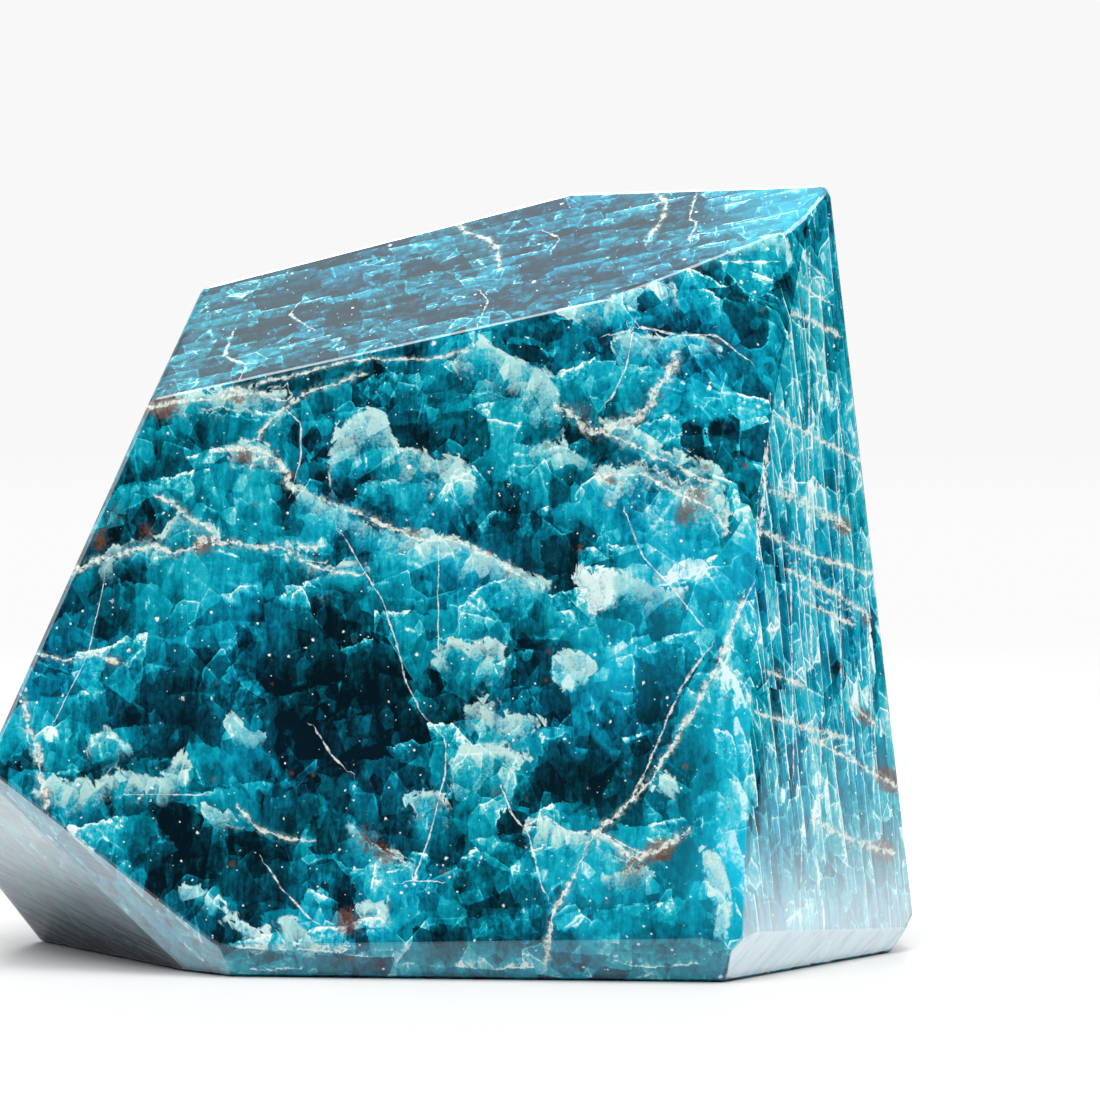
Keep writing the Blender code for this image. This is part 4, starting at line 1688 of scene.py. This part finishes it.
@dataclass(frozen=True)
class Lamp:
    """A square soft light that looks at the stone.

    It has its turn about the vertical, 0 to the front and positive to the right, and its lean above
    the table, both in degrees, its distance and its side in metres, and its power in watts.
    """

    name: str
    turn: float
    lean: float
    away: float
    size: float
    power: float

    def build(self) -> None:
        """Puts the light in the scene."""
        data = bpy.data.lights.new(self.name, "AREA")
        data.shape = "SQUARE"
        data.size = self.size
        data.energy = self.power
        lamp = bpy.data.objects.new(self.name, data)
        way = Vector(facing(self.turn, self.lean))
        lamp.location = LIT_POINT + way * self.away
        lamp.rotation_euler = way.to_track_quat("Z", "Y").to_euler()
        bpy.context.scene.collection.objects.link(lamp)


LIT_POINT = Vector((0.0, 0.0, 0.04))
LAMPS = (
    Lamp("key", -25.0, 68.0, 1.3, 0.9, 19.0),
    Lamp("right_fill", 72.0, 48.0, 1.3, 0.7, 12.0),
    Lamp("left_fill", -100.0, 35.0, 1.3, 0.8, 5.0),
    Lamp("back_fill", 180.0, 30.0, 1.3, 0.6, 6.0),
)


@dataclass
class Studio:
    """The pale table, the even backdrop and the soft lights."""

    table_radius: float = 12.0
    lit_radius: float = 0.16
    even_radius: float = 0.55
    table_colour: str = "bebebe"
    table_glow: str = "fbfbfb"
    table_roughness: float = 0.6
    fade: tuple[float, float] = (0.9, 1.7)
    behind_stone: tuple[float, float] = (0.1, 0.8)
    far_light: tuple[float, float] = (0.3, 0.95)
    backdrop: str = "f8f8f8"
    room_height: tuple[float, float] = (0.58, 0.86)
    room_light: tuple[float, float] = (0.03, 1.36)
    wall_depth: tuple[float, float] = (0.55, 0.85)
    wall_light: tuple[float, float] = (0.0, 0.80)

    def table(self) -> bpy.types.Object:
        """A round pale table top, evenly bright away from the stone."""
        disc = bmesh.new()
        bmesh.ops.create_circle(disc, cap_ends=True, segments=128, radius=self.table_radius)
        mesh = bpy.data.meshes.new("table")
        disc.to_mesh(mesh)
        disc.free()
        material = bpy.data.materials.new("table_top")
        material.use_nodes = True
        graph = Graph(material.node_tree)
        surface = material.node_tree.nodes["Principled BSDF"]
        surface.inputs["Base Color"].default_value = srgb(self.table_colour)
        surface.inputs["Roughness"].default_value = self.table_roughness
        glow = graph.add("ShaderNodeEmission")
        seen = graph.add("ShaderNodeLightPath").outputs["Is Camera Ray"]
        place = graph.add("ShaderNodeTexCoord").outputs["Object"]
        behind = graph.step(graph.split(place)[1], *self.behind_stone, self.far_light)
        graph.feed(glow.inputs["Strength"], graph.most(seen, behind))
        away = graph.vector("LENGTH", place)
        far = graph.mix(graph.step(away, *self.fade), srgb(self.table_glow), srgb(self.backdrop))
        graph.feed(glow.inputs["Color"], far)
        choose = graph.add("ShaderNodeMixShader")
        graph.feed(choose.inputs[0], graph.step(away, self.lit_radius, self.even_radius))
        graph.feed(choose.inputs[1], surface.outputs[0])
        graph.feed(choose.inputs[2], glow.outputs[0])
        graph.feed(material.node_tree.nodes["Material Output"].inputs["Surface"], choose.outputs[0])
        mesh.materials.append(material)
        table = bpy.data.objects.new("table", mesh)
        bpy.context.scene.collection.objects.link(table)
        return table

    def world(self) -> None:
        """A backdrop that the camera sees pale and even, and that lights from above and behind."""
        world = bpy.data.worlds.new("studio")
        bpy.context.scene.world = world
        world.use_nodes = True
        world.node_tree.nodes.clear()
        graph = Graph(world.node_tree)
        seen = graph.add("ShaderNodeBackground")
        seen.inputs["Color"].default_value = srgb(self.backdrop)
        room = graph.add("ShaderNodeBackground")
        _, depth, height = graph.split(graph.add("ShaderNodeTexCoord").outputs["Generated"])
        above = graph.step(height, *self.room_height, self.room_light)
        behind = graph.step(depth, *self.wall_depth, self.wall_light)
        graph.feed(room.inputs["Strength"], graph.most(above, behind))
        choose = graph.add("ShaderNodeMixShader")
        graph.feed(choose.inputs[0], graph.add("ShaderNodeLightPath").outputs["Is Camera Ray"])
        graph.feed(choose.inputs[1], room.outputs[0])
        graph.feed(choose.inputs[2], seen.outputs[0])
        output = graph.add("ShaderNodeOutputWorld")
        graph.feed(output.inputs["Surface"], choose.outputs[0])

    def build(self) -> None:
        """The whole studio."""
        self.table()
        self.world()
        for lamp in LAMPS:
            lamp.build()
        LOG.info("studio: table, backdrop and lights")


@dataclass
class PhotoCamera:
    """A camera where the photograph was taken from, in metres and degrees."""

    place: tuple[float, float, float] = (0.014675, -0.632106, 0.08842)
    down: float = 3.4336
    lens: float = 163.636
    sensor: float = 36.0

    def build(self) -> bpy.types.Object:
        """The scene's camera."""
        data = bpy.data.cameras.new("photo_camera")
        data.lens = self.lens
        data.sensor_width = self.sensor
        data.sensor_fit = "HORIZONTAL"
        camera = bpy.data.objects.new("photo_camera", data)
        camera.location = self.place
        camera.rotation_euler = Euler((math.radians(90.0 - self.down), 0.0, 0.0))
        bpy.context.scene.collection.objects.link(camera)
        bpy.context.scene.camera = camera
        LOG.info("camera: %.0f mm lens", self.lens)
        return camera


def main() -> None:
    """Builds the camera, the studio and the stone."""
    logging.basicConfig(level=logging.INFO, format="%(name)s: %(message)s")
    bpy.context.scene.view_settings.view_transform = "Standard"
    PhotoCamera().build()
    Studio().build()
    Stone().build(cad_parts[STONE], PolishedApatite())


if __name__ == "__main__":
    main()
